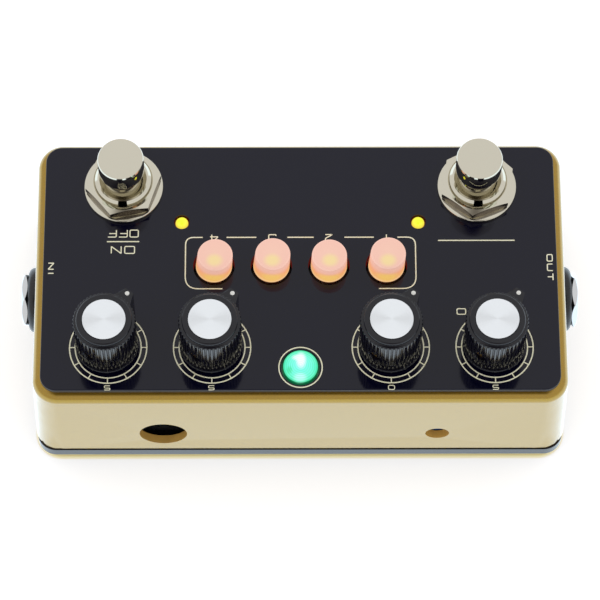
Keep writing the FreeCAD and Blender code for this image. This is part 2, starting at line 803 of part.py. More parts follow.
def make_control_jack():
    """Small jack whose sleeve ends level with the outside of the -X wall."""
    face = wall_x(control_z + control_height / 2) - wall
    mouth = wall_x(control_z + control_sleeve_radius)
    body = block(-control_height / 2, control_height / 2, -control_width / 2, control_width / 2,
                 face - control_depth, face)
    jack = body.fuse(rod(control_sleeve_radius, 0, 0, face, mouth))
    jack = jack.cut(rod(control_bore, 0, 0, face - control_depth, mouth))
    save("control_jack", laid_along_x(jack, -1, 0, control_y, control_z))


def make_power_jack():
    """Barrel socket under the board, behind the round hole in the -Y wall."""
    face = wall_y(board_under) - wall - power_wall_gap
    back = face - power_depth
    body = block(power_x - power_width / 2, power_x + power_width / 2, -face, -back,
                 side_z - power_below, board_under)
    bore = rod_along(power_bore, Vector(power_x, -face, side_z), Vector(0, 1, 0), power_bore_depth)
    save("power_jack", body.cut(bore))
    tip_y = -face + power_pin_recess
    pin_length = power_bore_depth - power_pin_recess
    pin = rod_along(power_pin_radius, Vector(power_x, tip_y, side_z), Vector(0, 1, 0), pin_length)
    tip = [edge for edge in pin.Edges if abs(edge.CenterOfMass.y - tip_y) < 1e-6]
    save("power_jack_pin", pin.makeFillet(power_pin_tip, tip))


def make_trimmer():
    """Trimmer under the board with its rotor behind the small hole in the -Y wall."""
    face = wall_y(board_under) - wall
    disc = rod_along(trimmer_radius, Vector(trimmer_x, -face, side_z), Vector(0, 1, 0), trimmer_depth)
    neck = block(trimmer_x - trimmer_neck_width / 2, trimmer_x + trimmer_neck_width / 2, -face,
                 -face + trimmer_depth, side_z, board_under)
    well = rod_along(rotor_radius + running_clearance, Vector(trimmer_x, -face, side_z), Vector(0, 1, 0),
                     rotor_depth + rotor_recess + running_clearance)
    save("trimmer_body", disc.fuse(neck).removeSplitter().cut(well))
    rotor_face = -face + rotor_recess
    rotor = rod_along(rotor_radius, Vector(trimmer_x, rotor_face, side_z), Vector(0, 1, 0), rotor_depth)
    slot = block(trimmer_x - rotor_slot_width / 2, trimmer_x + rotor_slot_width / 2, rotor_face,
                 rotor_face + rotor_slot_depth, side_z - rotor_radius, side_z + rotor_radius)
    save("trimmer_rotor", rotor.cut(slot))


make_enclosure()
make_face_plate()
make_base_cover()
make_base_screws()
make_rubber_feet()
make_main_board()
make_board_parts()
make_knobs(make_pots())
make_buttons()
make_foot_switches()
make_lamps()
make_signal_jacks()
make_control_jack()
make_power_jack()
make_trimmer()
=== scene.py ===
import json
import bmesh
import bpy
import numpy as np
from mathutils import Matrix, Vector


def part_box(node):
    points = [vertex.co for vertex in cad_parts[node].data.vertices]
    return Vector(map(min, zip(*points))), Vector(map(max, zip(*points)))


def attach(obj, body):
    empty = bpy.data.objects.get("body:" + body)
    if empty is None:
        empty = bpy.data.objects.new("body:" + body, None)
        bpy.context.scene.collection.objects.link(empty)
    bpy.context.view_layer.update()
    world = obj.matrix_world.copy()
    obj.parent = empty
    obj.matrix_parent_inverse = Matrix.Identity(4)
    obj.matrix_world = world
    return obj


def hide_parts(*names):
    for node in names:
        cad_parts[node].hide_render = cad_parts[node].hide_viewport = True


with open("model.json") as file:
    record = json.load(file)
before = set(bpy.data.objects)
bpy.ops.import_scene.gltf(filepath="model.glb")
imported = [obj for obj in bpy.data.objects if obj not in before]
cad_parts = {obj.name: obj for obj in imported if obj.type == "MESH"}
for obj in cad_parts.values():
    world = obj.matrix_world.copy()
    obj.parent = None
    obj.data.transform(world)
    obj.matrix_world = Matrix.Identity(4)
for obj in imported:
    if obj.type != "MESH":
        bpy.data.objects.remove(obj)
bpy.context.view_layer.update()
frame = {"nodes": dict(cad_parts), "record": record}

print("delay pedal: frame loaded")
mm = 0.001  # every length in a dictionary is in millimetres
fullTurn = 2 * np.pi
root = "pedal_case"
slotOf = {part["node"]: part["material_slot"] for part in frame["record"]["subparts"]}


def hexColour(code):  # sRGB hex to the linear colour that the shaders take
    channels = np.array([int(code[i:i + 2], 16) for i in (1, 3, 5)]) / 255
    linear = np.where(channels <= 0.04045, channels / 12.92, ((channels + 0.055) / 1.055) ** 2.4)
    return (*linear.tolist(), 1.0)


def perMetre(size):  # how many features of that many millimetres fit in a metre
    return 1000.0 / size


def addNode(tree, kind, settings=None, links=None):  # one node, its settings and what feeds it
    node = tree.nodes.new(kind)
    for name, value in (settings or {}).items():
        if name == "stops":  # a colour ramp's places and colours
            elements = node.color_ramp.elements
            while len(elements) < len(value):
                elements.new(1.0)
            for element, (place, colour) in zip(elements, value):
                element.position = place
                element.color = hexColour(colour)
        elif isinstance(name, int) or name in node.inputs:
            node.inputs[name].default_value = value
        else:
            setattr(node, name, value)
    for name, source in (links or {}).items():
        tree.links.new(source, node.inputs[name])
    return node


def boxOf(node):  # low and high corner of a CAD node, in millimetres
    low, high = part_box(node)
    return np.array(low) / mm, np.array(high) / mm


def middleOf(node):  # a node's middle seen from above
    low, high = boxOf(node)
    return np.array([*(low + high)[:2] / 2, 0.0])


def gridFaces(rows, columns, wrapRows, wrapColumns):
    # Quads between neighbouring rows and columns; a wrapped side joins its last line to its first.
    row, column = np.meshgrid(np.arange(rows if wrapRows else rows - 1),
                              np.arange(columns if wrapColumns else columns - 1), indexing="ij")
    nextRow, nextColumn = (row + 1) % rows, (column + 1) % columns
    corners = [row * columns + column, row * columns + nextColumn,
               nextRow * columns + nextColumn, nextRow * columns + column]
    return np.stack(corners, -1).reshape(-1, 4)


def dress(piece, body, replaced=()):  # ties a finished piece to the frame
    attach(piece, body)
    if replaced:
        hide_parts(*replaced)
    return piece


def pieceOf(name, mesh, material, sharp, gap, outward=False):
    # Merges a mesh's doubles, shades it smooth up to an angle and makes it a piece of the scene.
    work = bmesh.new()
    work.from_mesh(mesh)
    bmesh.ops.remove_doubles(work, verts=work.verts, dist=gap)
    if outward:
        bmesh.ops.recalc_face_normals(work, faces=work.faces)
    work.to_mesh(mesh)
    work.free()
    if mesh.attributes.get("custom_normal"):
        mesh.attributes.remove(mesh.attributes["custom_normal"])
    mesh.shade_smooth()
    mesh.set_sharp_from_angle(angle=np.radians(sharp))
    mesh.materials.clear()
    mesh.materials.append(material)
    piece = bpy.data.objects.new(name, mesh)
    bpy.context.scene.collection.objects.link(piece)
    return piece


def makePiece(name, surfaces, material, body, replaced=(), sharp=32, middle=None):
    # A mesh of one or more grids (points, wrapRows, wrapColumns). Its own map runs from 0 to 1
    # along the columns and from 0 to 1 down the rows. Where its material measures from the piece's
    # middle, every point keeps its way from there as an attribute.
    points, faces, maps, start = [], [], [], 0
    for grid, wrapRows, wrapColumns in surfaces:
        rows, columns = grid.shape[:2]
        quads = gridFaces(rows, columns, wrapRows, wrapColumns)
        row, column = np.divmod(quads, columns)
        across = column / (columns if wrapColumns else columns - 1)
        across[:, 1:3] += (across[:, 1:3] < across[:, [0]]) * 1.0
        along = row / (rows if wrapRows else rows - 1)
        points.append(grid.reshape(-1, 3) * mm)
        faces.append(quads + start)
        maps.append(np.stack([across, along], -1).reshape(-1, 2))
        start += rows * columns
    points, faces, maps = np.concatenate(points), np.concatenate(faces), np.concatenate(maps)
    mesh = bpy.data.meshes.new(name)
    mesh.vertices.add(len(points))
    mesh.vertices.foreach_set("co", points.ravel())
    mesh.loops.add(faces.size)
    mesh.loops.foreach_set("vertex_index", faces.ravel())
    mesh.polygons.add(len(faces))
    mesh.polygons.foreach_set("loop_start", np.arange(0, faces.size, 4))
    mesh.update(calc_edges=True)
    mesh.uv_layers.new(name="profile").data.foreach_set("uv", maps.ravel())
    if middle is not None:
        away = mesh.attributes.new("fromMiddle", "FLOAT_VECTOR", "POINT")
        away.data.foreach_set("vector", (points - middle * mm).ravel())
    piece = pieceOf(name, mesh, material, sharp, 2e-7, True)  # closes seams and poles
    return dress(piece, body, replaced)


def copyNode(node, name, material, body, sharp=30):
    # A CAD node's shape with its loose triangles merged, so that its rounded edges shade smoothly.
    mesh = frame["nodes"][node].data.copy()
    mesh.name = name
    piece = pieceOf(name, mesh, material, sharp, 1e-6)
    evened = piece.modifiers.new("evened normals", "WEIGHTED_NORMAL")  # keeps flat faces flat
    evened.keep_sharp = True
    return dress(piece, body, (node,))


def stacked(rows, angle):
    # Rows of (radius, height), each a number or one value per angle, joined into one surface.
    grid = np.empty((len(rows), len(angle), 3))
    for line, (radius, height) in zip(grid, rows):
        line[:, 0] = radius * np.cos(angle)
        line[:, 1] = radius * np.sin(angle)
        line[:, 2] = height
    return grid


def turned(profile, segments=96):  # a profile carried once round the vertical axis
    return stacked(profile, np.linspace(0, fullTurn, segments, endpoint=False))


def placed(grid, centre, axis="z"):
    # Lays a form made round +Z along the axis that it is for, then moves it to its centre.
    order = {"z": (0, 1, 2), "x": (2, 0, 1), "y": (1, 2, 0)}[axis[-1]]
    out = grid[..., order].copy()
    out[..., "xyz".index(axis[-1])] *= -1.0 if axis[0] == "-" else 1.0
    return out + np.asarray(centre, float)


def quarter(radius, height, bend, steps=6):
    # A quarter circle from the top of a rim, (radius - bend, height), to its side.
    turn = np.linspace(0, np.pi / 2, steps + 1)
    return [(radius - bend + bend * np.sin(t), height - bend + bend * np.cos(t)) for t in turn]


def rounded(path, radius, steps=5, closed=False):
    # Every inner corner of a path gets an arc: between two tangent points runs a quadratic curve
    # through the corner, which is near a circle at small sizes.
    path = np.asarray(path, float)
    count, share = len(path), 0.48  # an arc takes up to that share of each side
    t = np.linspace(0, 1, steps + 1)[:, None]
    out = []
    for i in range(count):
        corner = path[i]
        if radius <= 0 or (not closed and i in (0, count - 1)):
            out.append(corner[None])
            continue
        back, ahead = path[i - 1] - corner, path[(i + 1) % count] - corner
        reach = min(radius, share * np.hypot(*back), share * np.hypot(*ahead))
        start = corner + back / np.hypot(*back) * reach
        stop = corner + ahead / np.hypot(*ahead) * reach
        out.append((1 - t) ** 2 * start + 2 * t * (1 - t) * corner + t ** 2 * stop)
    return np.concatenate(out)


def ribbon(path, width, low, high, closed=False):
    # A flat band of ink: its cross-section, a thin box, is carried along a path of (x, y) points
    # and mitred at the bends; an open band ends square.
    path = np.asarray(path, float)
    ahead = np.roll(path, -1, 0) - path
    back = path - np.roll(path, 1, 0)
    if not closed:
        ahead[-1], back[0] = back[-1], ahead[0]
    ahead /= np.linalg.norm(ahead, axis=1)[:, None]
    back /= np.linalg.norm(back, axis=1)[:, None]
    middle = ahead + back
    middle /= np.linalg.norm(middle, axis=1)[:, None]
    mitreLimit = 0.4
    stretch = 1 / np.clip((middle * ahead).sum(1), mitreLimit, 1)
    side = np.stack([-middle[:, 1], middle[:, 0]], -1) * (stretch * width / 2)[:, None]
    grid = np.empty((len(path), 4, 3))
    for column, (sign, height) in enumerate([(-1, low), (1, low), (1, high), (-1, high)]):
        grid[:, column, :2] = path + sign * side
        grid[:, column, 2] = height
    if closed:
        return grid, True, True
    ends = grid[[0, -1]].mean(1, keepdims=True).repeat(4, 1)
    return np.concatenate([ends[:1], grid, ends[1:]]), False, True


def arcPath(centre, radius, start, stop, steps):
    # Points at one radius from start to stop, in degrees anticlockwise from +X.
    angle = np.radians(np.linspace(start, stop, steps))
    return np.asarray(centre, float)[:2] + radius * np.stack([np.cos(angle), np.sin(angle)], -1)


camera = dict(lens=199.911, sensor=36.0, elevation=66.163, side=-0.735, roll=0.578,
              distance=692.35, target=(-0.0585, -7.602, 31.5))


def towardsCamera(look):  # the direction from the part to the camera
    side, rise = np.radians(look["side"]), np.radians(look["elevation"])
    return np.array([np.sin(side) * np.cos(rise), -np.cos(side) * np.cos(rise), np.sin(rise)])


def makeCamera(look):  # looks down on the near side, turned a little about its own axis
    back, roll = towardsCamera(look), np.radians(look["roll"])
    right = np.cross(-back, [0, 0, 1])
    right /= np.linalg.norm(right)
    up = np.cross(right, -back)
    across = np.cos(roll) * right + np.sin(roll) * up
    rising = -np.sin(roll) * right + np.cos(roll) * up
    data = bpy.data.cameras.new("camera")
    data.lens, data.sensor_width = look["lens"], look["sensor"]
    data.clip_start, data.clip_end = 0.05, 10.0
    holder = bpy.data.objects.new("camera", data)
    eye = (np.array(look["target"]) + back * look["distance"]) * mm
    facing = Matrix(np.stack([across, rising, back], 1).tolist()).to_4x4()
    holder.matrix_world = Matrix.Translation(Vector(eye)) @ facing
    bpy.context.scene.collection.objects.link(holder)
    bpy.context.scene.camera = holder


makeCamera(camera)
bpy.context.scene.view_settings.view_transform = "Standard"
print("camera set")


def startMaterial(name, colour, **settings):  # a Principled surface and the piece's own coordinates
    material = bpy.data.materials.new(name)
    material.use_nodes = True
    tree = material.node_tree
    tree.nodes.clear()
    values = {key.replace("_", " "): value for key, value in settings.items()}
    values["Base Color"] = hexColour(colour)
    surface = addNode(tree, "ShaderNodeBsdfPrincipled", values)
    addNode(tree, "ShaderNodeOutputMaterial", {}, {"Surface": surface.outputs["BSDF"]})
    return material, tree, surface, addNode(tree, "ShaderNodeTexCoord").outputs


def addGrain(tree, surface, place, size, height, smooth, rough):
    # Fine unevenness: one noise moves the roughness between two values and lifts the surface.
    noise = addNode(tree, "ShaderNodeTexNoise", {"Scale": perMetre(size), "Detail": 3.0},
                    {"Vector": place["Object"]})
    gloss = addNode(tree, "ShaderNodeMapRange",
                    {"From Min": 0.3, "From Max": 0.7, "To Min": smooth, "To Max": rough},
                    {"Value": noise.outputs["Fac"]})
    bump = addNode(tree, "ShaderNodeBump", {"Strength": 1.0, "Distance": height * mm},
                   {"Height": noise.outputs["Fac"]})
    tree.links.new(gloss.outputs["Result"], surface.inputs["Roughness"])
    tree.links.new(bump.outputs["Normal"], surface.inputs["Normal"])


def addTone(tree, surface, place, size, first, second):
    # The colour drifts between two close shades over patches of one size.
    noise = addNode(tree, "ShaderNodeTexNoise", {"Scale": perMetre(size), "Detail": 4.0},
                    {"Vector": place["Object"]})
    tone = addNode(tree, "ShaderNodeValToRGB", {"stops": [(0.35, first), (0.65, second)]},
                   {"Fac": noise.outputs["Fac"]})
    tree.links.new(tone.outputs["Color"], surface.inputs["Base Color"])


def addGlow(tree, surface, place, stops):
    # Light from inside: its colour follows the piece's own map from the crown down to the foot.
    along = addNode(tree, "ShaderNodeSeparateXYZ", {}, {"Vector": place["UV"]})
    glow = addNode(tree, "ShaderNodeValToRGB", {"stops": stops}, {"Fac": along.outputs["Y"]})
    tree.links.new(glow.outputs["Color"], surface.inputs["Emission Color"])
    return along, glow


def grainy(name, shades, grain, patch=None, **settings):
    # The common recipe: one colour, or two close shades that drift over patches, six grains wide
    # unless their size is given, and a grain of one size, height, least and most roughness.
    material, tree, surface, place = startMaterial(name, shades[0], **settings)
    if len(shades) > 1:
        addTone(tree, surface, place, patch or 6 * grain[0], *shades)
    addGrain(tree, surface, place, *grain)
    return material


def spunAluminium():
    # Aluminium disc, faced on a lathe: fine rings round its middle spread the light across them.
    material, tree, surface, place = startMaterial("spun aluminium", "#f2f6fa", Metallic=1.0,
                                                   Anisotropic=0.9)
    rings = addNode(tree, "ShaderNodeMapping", {"Scale": (0.0, 46.0, 0.0)}, {"Vector": place["UV"]})
    noise = addNode(tree, "ShaderNodeTexNoise", {"Scale": 1.0, "Detail": 2.0},
                    {"Vector": rings.outputs["Vector"]})
    gloss = addNode(tree, "ShaderNodeMapRange", {"To Min": 0.3, "To Max": 0.4},
                    {"Value": noise.outputs["Fac"]})
    bump = addNode(tree, "ShaderNodeBump", {"Strength": 0.6, "Distance": 0.003 * mm},
                   {"Height": noise.outputs["Fac"]})
    tree.links.new(gloss.outputs["Result"], surface.inputs["Roughness"])
    tree.links.new(bump.outputs["Normal"], surface.inputs["Normal"])
    return material


def addSpot(tree, place, centre, reach, colour, under, amount=1.0):
    # A soft bright spot, an ellipsoid round a point of the piece, mixed over the colour under it.
    spot = addNode(tree, "ShaderNodeMapping",
                   {"vector_type": "TEXTURE", "Location": tuple(v * mm for v in centre),
                    "Scale": tuple(v * mm for v in reach)}, {"Vector": place["Object"]})
    soft = addNode(tree, "ShaderNodeTexGradient", {"gradient_type": "SPHERICAL"},
                   {"Vector": spot.outputs["Vector"]})
    share = addNode(tree, "ShaderNodeMapRange",
                    {"interpolation_type": "SMOOTHSTEP", "From Max": 0.7, "To Max": amount},
                    {"Value": soft.outputs["Fac"]})
    blend = addNode(tree, "ShaderNodeMix", {"data_type": "RGBA", 7: hexColour(colour)},
                    {0: share.outputs["Result"], 6: under})
    return blend.outputs[2]


def fromMiddle(tree, place):  # the piece's own map, and places measured from its own middle
    own = addNode(tree, "ShaderNodeAttribute", {"attribute_name": "fromMiddle"})
    return {"UV": place["UV"], "Object": own.outputs["Vector"]}


def litCap():
    # Milky plastic cap, injection moulded and lit by a lamp inside: pale rose on top with a
    # yellowish spot towards the near side, orange down its side and yellow at its rim; a paler band
    # on its rounded top edge is a painted reflection of the sky.
    material, tree, surface, place = startMaterial("milky plastic lit from inside", "#a07c6f",
                                                   Emission_Strength=1.0)
    place = fromMiddle(tree, place)
    # the paler stop at 0.4, on the rounded top edge, is a painted reflection
    glow = addGlow(tree, surface, place,
                   [(0.0, "#cda998"), (0.3, "#cca496"), (0.4, "#d6b0a2"), (0.46, "#d6a698"),
                    (0.5, "#dcac9c"), (0.58, "#deaa96"), (0.65, "#e0a080"), (0.72, "#e29c6a"),
                    (0.82, "#e2a864"), (0.87, "#e8c490"), (0.92, "#b86a34"), (1.0, "#5a1a0a")])[1]
    near = addSpot(tree, place, (0, -3.8, -4.0), (3.7, 2.4, 2.3), "#e2ba5c",
                   glow.outputs["Color"], 0.9)
    warm = addSpot(tree, place, (0.2, -1.35, 0), (2.3, 1.9, 2.4), "#ccc27a", near, 0.85)
    tree.links.new(warm, surface.inputs["Emission Color"])
    addGrain(tree, surface, place, 0.4, 0.003, 0.3, 0.4)
    return material


def litAmber():
    # Amber epoxy lamp, cast and lit: yellow crown, orange flank, dark red where it enters the
    # plate.
    material, tree, surface, place = startMaterial("cast amber epoxy, lit", "#7a5a08",
                                                   Emission_Strength=1.0)
    addGlow(tree, surface, place,
            [(0.0, "#e0f824"), (0.25, "#e8f634"), (0.42, "#f2ea50"), (0.55, "#eed04c"),
             (0.64, "#a05a18"), (0.7, "#5a1804"), (1.0, "#300802")])
    addGrain(tree, surface, place, 0.6, 0.002, 0.08, 0.16)
    return material


def litGreen():
    # Polycarbonate lens, moulded with rings and lit green: white-hot where its lamp shines through,
    # mint rings that rise and fall in strength, a thin deep green edge.
    material, tree, surface, place = startMaterial("ringed polycarbonate, lit green", "#0f8858")
    place = fromMiddle(tree, place)
    along, glow = addGlow(tree, surface, place,
                          [(0.0, "#94f6ee"), (0.3, "#7aeee0"), (0.6, "#70ead4"), (0.84, "#58e0b8"),
                           (0.895, "#44d4a0"), (0.925, "#0c5a36"), (1.0, "#042818")])
    white = addSpot(tree, place, (0.1, 1.2, 0), (1.4, 2.5, 3.0), "#f2fffd", glow.outputs["Color"])
    flare = addSpot(tree, place, (-0.6, 1.8, 0), (1.6, 1.0, 3.0), "#f4fbfb", white, 0.8)
    lower = addSpot(tree, place, (-0.1, -2.6, 0), (1.9, 1.3, 3.0), "#c8fff6", flare, 0.75)
    deep = addSpot(tree, place, (-2.3, -1.0, 0), (0.9, 1.2, 3.0), "#40cc90", lower, 0.7)
    tree.links.new(deep, surface.inputs["Emission Color"])
    rings = 9
    turns = addNode(tree, "ShaderNodeMath", {"operation": "MULTIPLY", 1: rings * fullTurn},
                    {0: along.outputs["Y"]})
    wave = addNode(tree, "ShaderNodeMath", {"operation": "SINE"}, {0: turns.outputs["Value"]})
    power = addNode(tree, "ShaderNodeMapRange",
                    {"From Min": -1.0, "From Max": 1.0, "To Min": 0.82, "To Max": 1.14},
                    {"Value": wave.outputs["Value"]})
    tree.links.new(power.outputs["Result"], surface.inputs["Emission Strength"])
    addGrain(tree, surface, place, 0.9, 0.003, 0.1, 0.18)
    return material


finish = {
    # Metallic powder coat, sprayed and stoved: saturated gold flakes under a clear skin, so that it
    # looks deep gold from above and pale where its side mirrors the floor.
    "gold_paint": grainy("gold metallic powder coat", ("#977608", "#a17e10"),
                         (0.8, 0.0015, 0.2, 0.26), 0.25, Metallic=1.0, Coat_Weight=1.0,
                         Coat_Roughness=0.08, Coat_IOR=1.56),
    # The same paint where the gun can't reach, inside the side holes: thin, rough and browner.
    "thin_paint": grainy("thin gold paint inside the holes", ("#d2a650", "#c49a4a"),
                         (0.4, 0.004, 0.6, 0.75)),
    # Aluminium plate under gloss black lacquer: near mirror, a cold cast, only just uneven.
    "black_plate": grainy("gloss black lacquer on aluminium", ("#06061c",),
                          (7.0, 0.003, 0.07, 0.11), IOR=1.4),
    # Sawn aluminium under a thin run of lacquer: a dark grey line round the plate.
    "cut_edge": grainy("lacquered cut edge", ("#33353b", "#3a3c42"), (0.3, 0.003, 0.3, 0.4)),
    # The hole walls round a lit cap: black lacquer with the caps' deep red light painted on as a
    # glow.
    "painted_red_glow": grainy("lacquer with painted red glow", ("#1c0806", "#240a08"),
                       (0.3, 0.003, 0.3, 0.4), Emission_Color=hexColour("#4c0e08"),
                       Emission_Strength=1.0),
    # Screen-printed epoxy ink, pale gold: matt, a little thin in places.
    "print": grainy("screen-printed pale gold ink", ("#f9f4ce", "#fffce2"),
                    (0.12, 0.003, 0.45, 0.6), 0.5),
    # Black gloss paint on a casting: mirrors the floor as a grey band.
    "black_cover": grainy("gloss black paint on a casting", ("#101014", "#16161a"),
                          (0.6, 0.004, 0.14, 0.24), 1.5),
    # Chromium plate on turned brass, buffed: clear mirror with a warm cast.
    "chrome": grainy("polished chromium plate", ("#cfcaba",), (2.5, 0.001, 0.05, 0.09),
                     Metallic=1.0),
    # The upright flats of the nuts: plated metal painted darker and browner than the face, a
    # painted reflection of the dark that they mirror.
    "flats_painted_dark": grainy("plated flats with painted dark reflection", ("#6a5f55", "#857868"),
                          (0.25, 0.004, 0.18, 0.3), Metallic=1.0),
    # Nickel plate on cut brass, tumbled: a cool mirror dulled by fine marks.
    "nut_plating": grainy("tumbled nickel plate", ("#cfd1d3",), (0.8, 0.002, 0.08, 0.14),
                          Metallic=1.0),
    "knob_disc": spunAluminium(),
    # Phenolic resin, compression moulded and tumbled: deep black with a clear gloss.
    "knob_plastic": grainy("moulded phenolic", ("#090914",), (1.2, 0.002, 0.07, 0.13), IOR=1.47),
    "button_plastic": litCap(),
    "amber_led": litAmber(),
    "green_lens": litGreen(),
    # Enamel run into a drilled dot and wiped level: soft white, nearly matt.
    "white_paint": grainy("filled white enamel", ("#f2f2ee", "#e6e6e0"), (0.3, 0.002, 0.3, 0.45)),
    # Zinc plate on rolled steel: a grey metal that mirrors in soft patches.
    "steel_screw": grainy("zinc plated steel", ("#a9acb0", "#b7babd"), (0.4, 0.004, 0.22, 0.36),
                          Metallic=1.0),
    # Rubber pressed in a blasted mould: dull black that takes no highlight.
    "foot_rubber": grainy("moulded rubber", ("#1a1a1a", "#222222"), (0.25, 0.01, 0.6, 0.75)),
    # Solder mask printed over glass laminate: satin green, lighter in patches.
    "board_laminate": grainy("green solder mask on glass laminate", ("#124a2c", "#17583a"),
                             (0.3, 0.004, 0.3, 0.42)),
    # Epoxy moulded round a chip: charcoal with a fine matt grain.
    "chip_epoxy": grainy("moulded epoxy", ("#151517", "#1c1c1e"), (0.15, 0.006, 0.5, 0.62)),
    # Aluminium drawn into a can: pale satin metal with long soft highlights.
    "capacitor_can": grainy("drawn aluminium can", ("#b9bcc0", "#c6c9cc"),
                            (0.3, 0.003, 0.25, 0.35), Metallic=1.0),
    # Tinned steel, stamped: greyer, a little mottled where the tin lies thick.
    "pot_case": grainy("stamped tinned steel", ("#a8a8a4", "#b5b5b0"), (0.5, 0.004, 0.25, 0.4),
                       Metallic=1.0),
    # Brass, turned on a lathe: warm yellow with a bright but not clear gloss.
    "set_screw": grainy("turned brass", ("#c08f3c", "#d0a04c"), (0.3, 0.004, 0.22, 0.34),
                        Metallic=1.0),
    # Aluminium rod, turned: light grey, its gloss broken by tool marks.
    "shaft_metal": grainy("turned aluminium rod", ("#b4b6b9", "#c0c2c5"),
                          (0.25, 0.004, 0.25, 0.38), Metallic=1.0),
    # Nylon as it leaves the mould, uncoloured: warm white and waxy.
    "stem_plastic": grainy("white nylon", ("#e6e3da", "#dcd8cd"), (0.3, 0.004, 0.4, 0.5)),
    # Nylon moulded black: a waxy black with a wide, weak highlight.
    "switch_plastic": grainy("black switch nylon", ("#18181a", "#202022"),
                             (0.3, 0.006, 0.4, 0.52)),
    # Thermosetting resin pressed in a mould: dense blue, slightly speckled.
    "footswitch_case": grainy("blue moulding resin", ("#1f3f78", "#264985"),
                              (0.4, 0.006, 0.38, 0.5)),
    # Nylon moulded with glass fibre in it: black satin, roughened where fibres reach the skin.
    "jack_plastic": grainy("glass-filled nylon", ("#0e0f13", "#15161a"),
                           (0.3, 0.005, 0.24, 0.36)),
    # Nickel plate on a drawn pin: a warmer, clearer metal than the screws'.
    "pin_plating": grainy("nickel plated pin", ("#c6c3b8", "#d0cdc3"), (0.3, 0.003, 0.15, 0.25),
                          Metallic=1.0),
    # Nylon moulded bright blue: a waxy, even blue.
    "trimmer_plastic": grainy("blue trimmer nylon", ("#234f94", "#2b5ba4"),
                              (0.3, 0.005, 0.4, 0.52)),
}
for node, piece in frame["nodes"].items():  # every CAD node starts with its own finish
    piece.data.materials.clear()
    piece.data.materials.append(finish[slotOf[node]])
print("materials made:", len(finish))

case = dict(corner=5.8, fuller=1.2, fullerTop=25.0, flare=0.16, flareTop=9.0, sideHeight=12.4,
            sideHoles=((-28.8, 5.0), (28.8, 2.5)), holeMargin=0.3, wallDepth=3.0, buttonHole=4.6,
            skin=1.2)
steep = 0.5  # a face is a wall where its normal has less than this of the direction across it


def paintFaces(piece, material, chosen):  # gives some faces of a copy a second finish
    mesh = piece.data
    slots = np.zeros(len(mesh.polygons), np.int32)
    mesh.polygons.foreach_get("material_index", slots)
    slots[chosen] = len(mesh.materials)
    mesh.materials.append(material)
    mesh.polygons.foreach_set("material_index", slots)


def faceFacts(piece):  # the middle, in millimetres, and the normal of every face
    polygons = piece.data.polygons
    middle = np.array([face.center for face in polygons]) / mm
    return middle, np.array([face.normal for face in polygons])


def buttonWalls(middle, normal, reach):  # the walls of the four button holes
    chosen = np.zeros(len(middle), bool)
    for number in (1, 2, 3, 4):
        away = middle[:, :2] - middleOf(f"button_cap_{number}")[:2]
        chosen |= (np.hypot(*away.T) < reach) & (np.abs(normal[:, 2]) < steep)
    return chosen


def makeCase(look):
    # The casting's lower corners are sharper than its upper ones: towards the foot each point of a
    # corner moves out by d (1 - cos t, 1 - sin t), which takes d off the corner's radius.
    piece = copyNode("enclosure", "case", finish["gold_paint"], root)
    low, high = boxOf("enclosure")
    points = np.array([vertex.co for vertex in piece.data.vertices]) / mm
    corner = np.array([high[0], high[1]]) - look["corner"]
    away = np.abs(points[:, :2]) - corner
    reach = np.hypot(*away.T)
    outer = (away > 0).all(1) & (reach > look["corner"] - look["skin"])
    share = np.clip((look["fullerTop"] - points[:, 2]) / (look["fullerTop"] - low[2]), 0, 1)
    shift = look["fuller"] * share[:, None] * (1 - away / reach[:, None]) * outer[:, None]
    points[:, :2] += np.sign(points[:, :2]) * shift
    skin = (high[:2] - np.abs(points[:, :2])).min(1) < look["skin"]
    share = np.clip((look["flareTop"] - points[:, 2]) / (look["flareTop"] - low[2]), 0, 1)
    points[:, 1] += np.sign(points[:, 1]) * look["flare"] * share * skin
    piece.data.vertices.foreach_set("co", (points * mm).ravel())
    piece.data.update()
    middle, normal = faceFacts(piece)
    nearWall = (middle[:, 1] < low[1] + look["wallDepth"]) & (np.abs(normal[:, 1]) < steep)
    chosen = np.zeros(len(middle), bool)
    for x, radius in look["sideHoles"]:
        reach = np.hypot(middle[:, 0] - x, middle[:, 2] - look["sideHeight"])
        chosen |= nearWall & (reach < radius + look["holeMargin"])
    paintFaces(piece, finish["thin_paint"], chosen)
    # the walls of the button holes get the caps' red light painted on as a glow
    paintFaces(piece, finish["painted_red_glow"], buttonWalls(middle, normal, look["buttonHole"]))


def makeFacePlate(look):
    # The lacquer thins out on the plate's cut edge, and the edges of the button holes get the caps'
    # red light painted on as a glow.
    piece = copyNode("face_plate", "facePlate", finish["black_plate"], root)
    high = boxOf("face_plate")[1]
    middle, normal = faceFacts(piece)
    inside = (high[:2] - np.abs(middle[:, :2])).min(1)
    rim = (np.abs(normal[:, 2]) < steep) & (inside < look["skin"])
    paintFaces(piece, finish["cut_edge"], rim)
    paintFaces(piece, finish["painted_red_glow"], buttonWalls(middle, normal, look["buttonHole"]))


makeCase(case)
makeFacePlate(case)
copyNode("base_cover", "baseCover", finish["black_cover"], root)
for node in ("base_screws", "rubber_feet", "input_jack", "output_jack", "control_jack",
             "power_jack", "power_jack_pin", "trimmer_body", "foot_switch_bodies",
             "foot_switch_lugs", "lens_holder"):
    copyNode(node, "dressed." + node, finish[slotOf[node]], root)
copyNode("trimmer_rotor", "dressed.trimmer_rotor", finish["stem_plastic"], "trimmer")
print("case, plate and cover dressed")


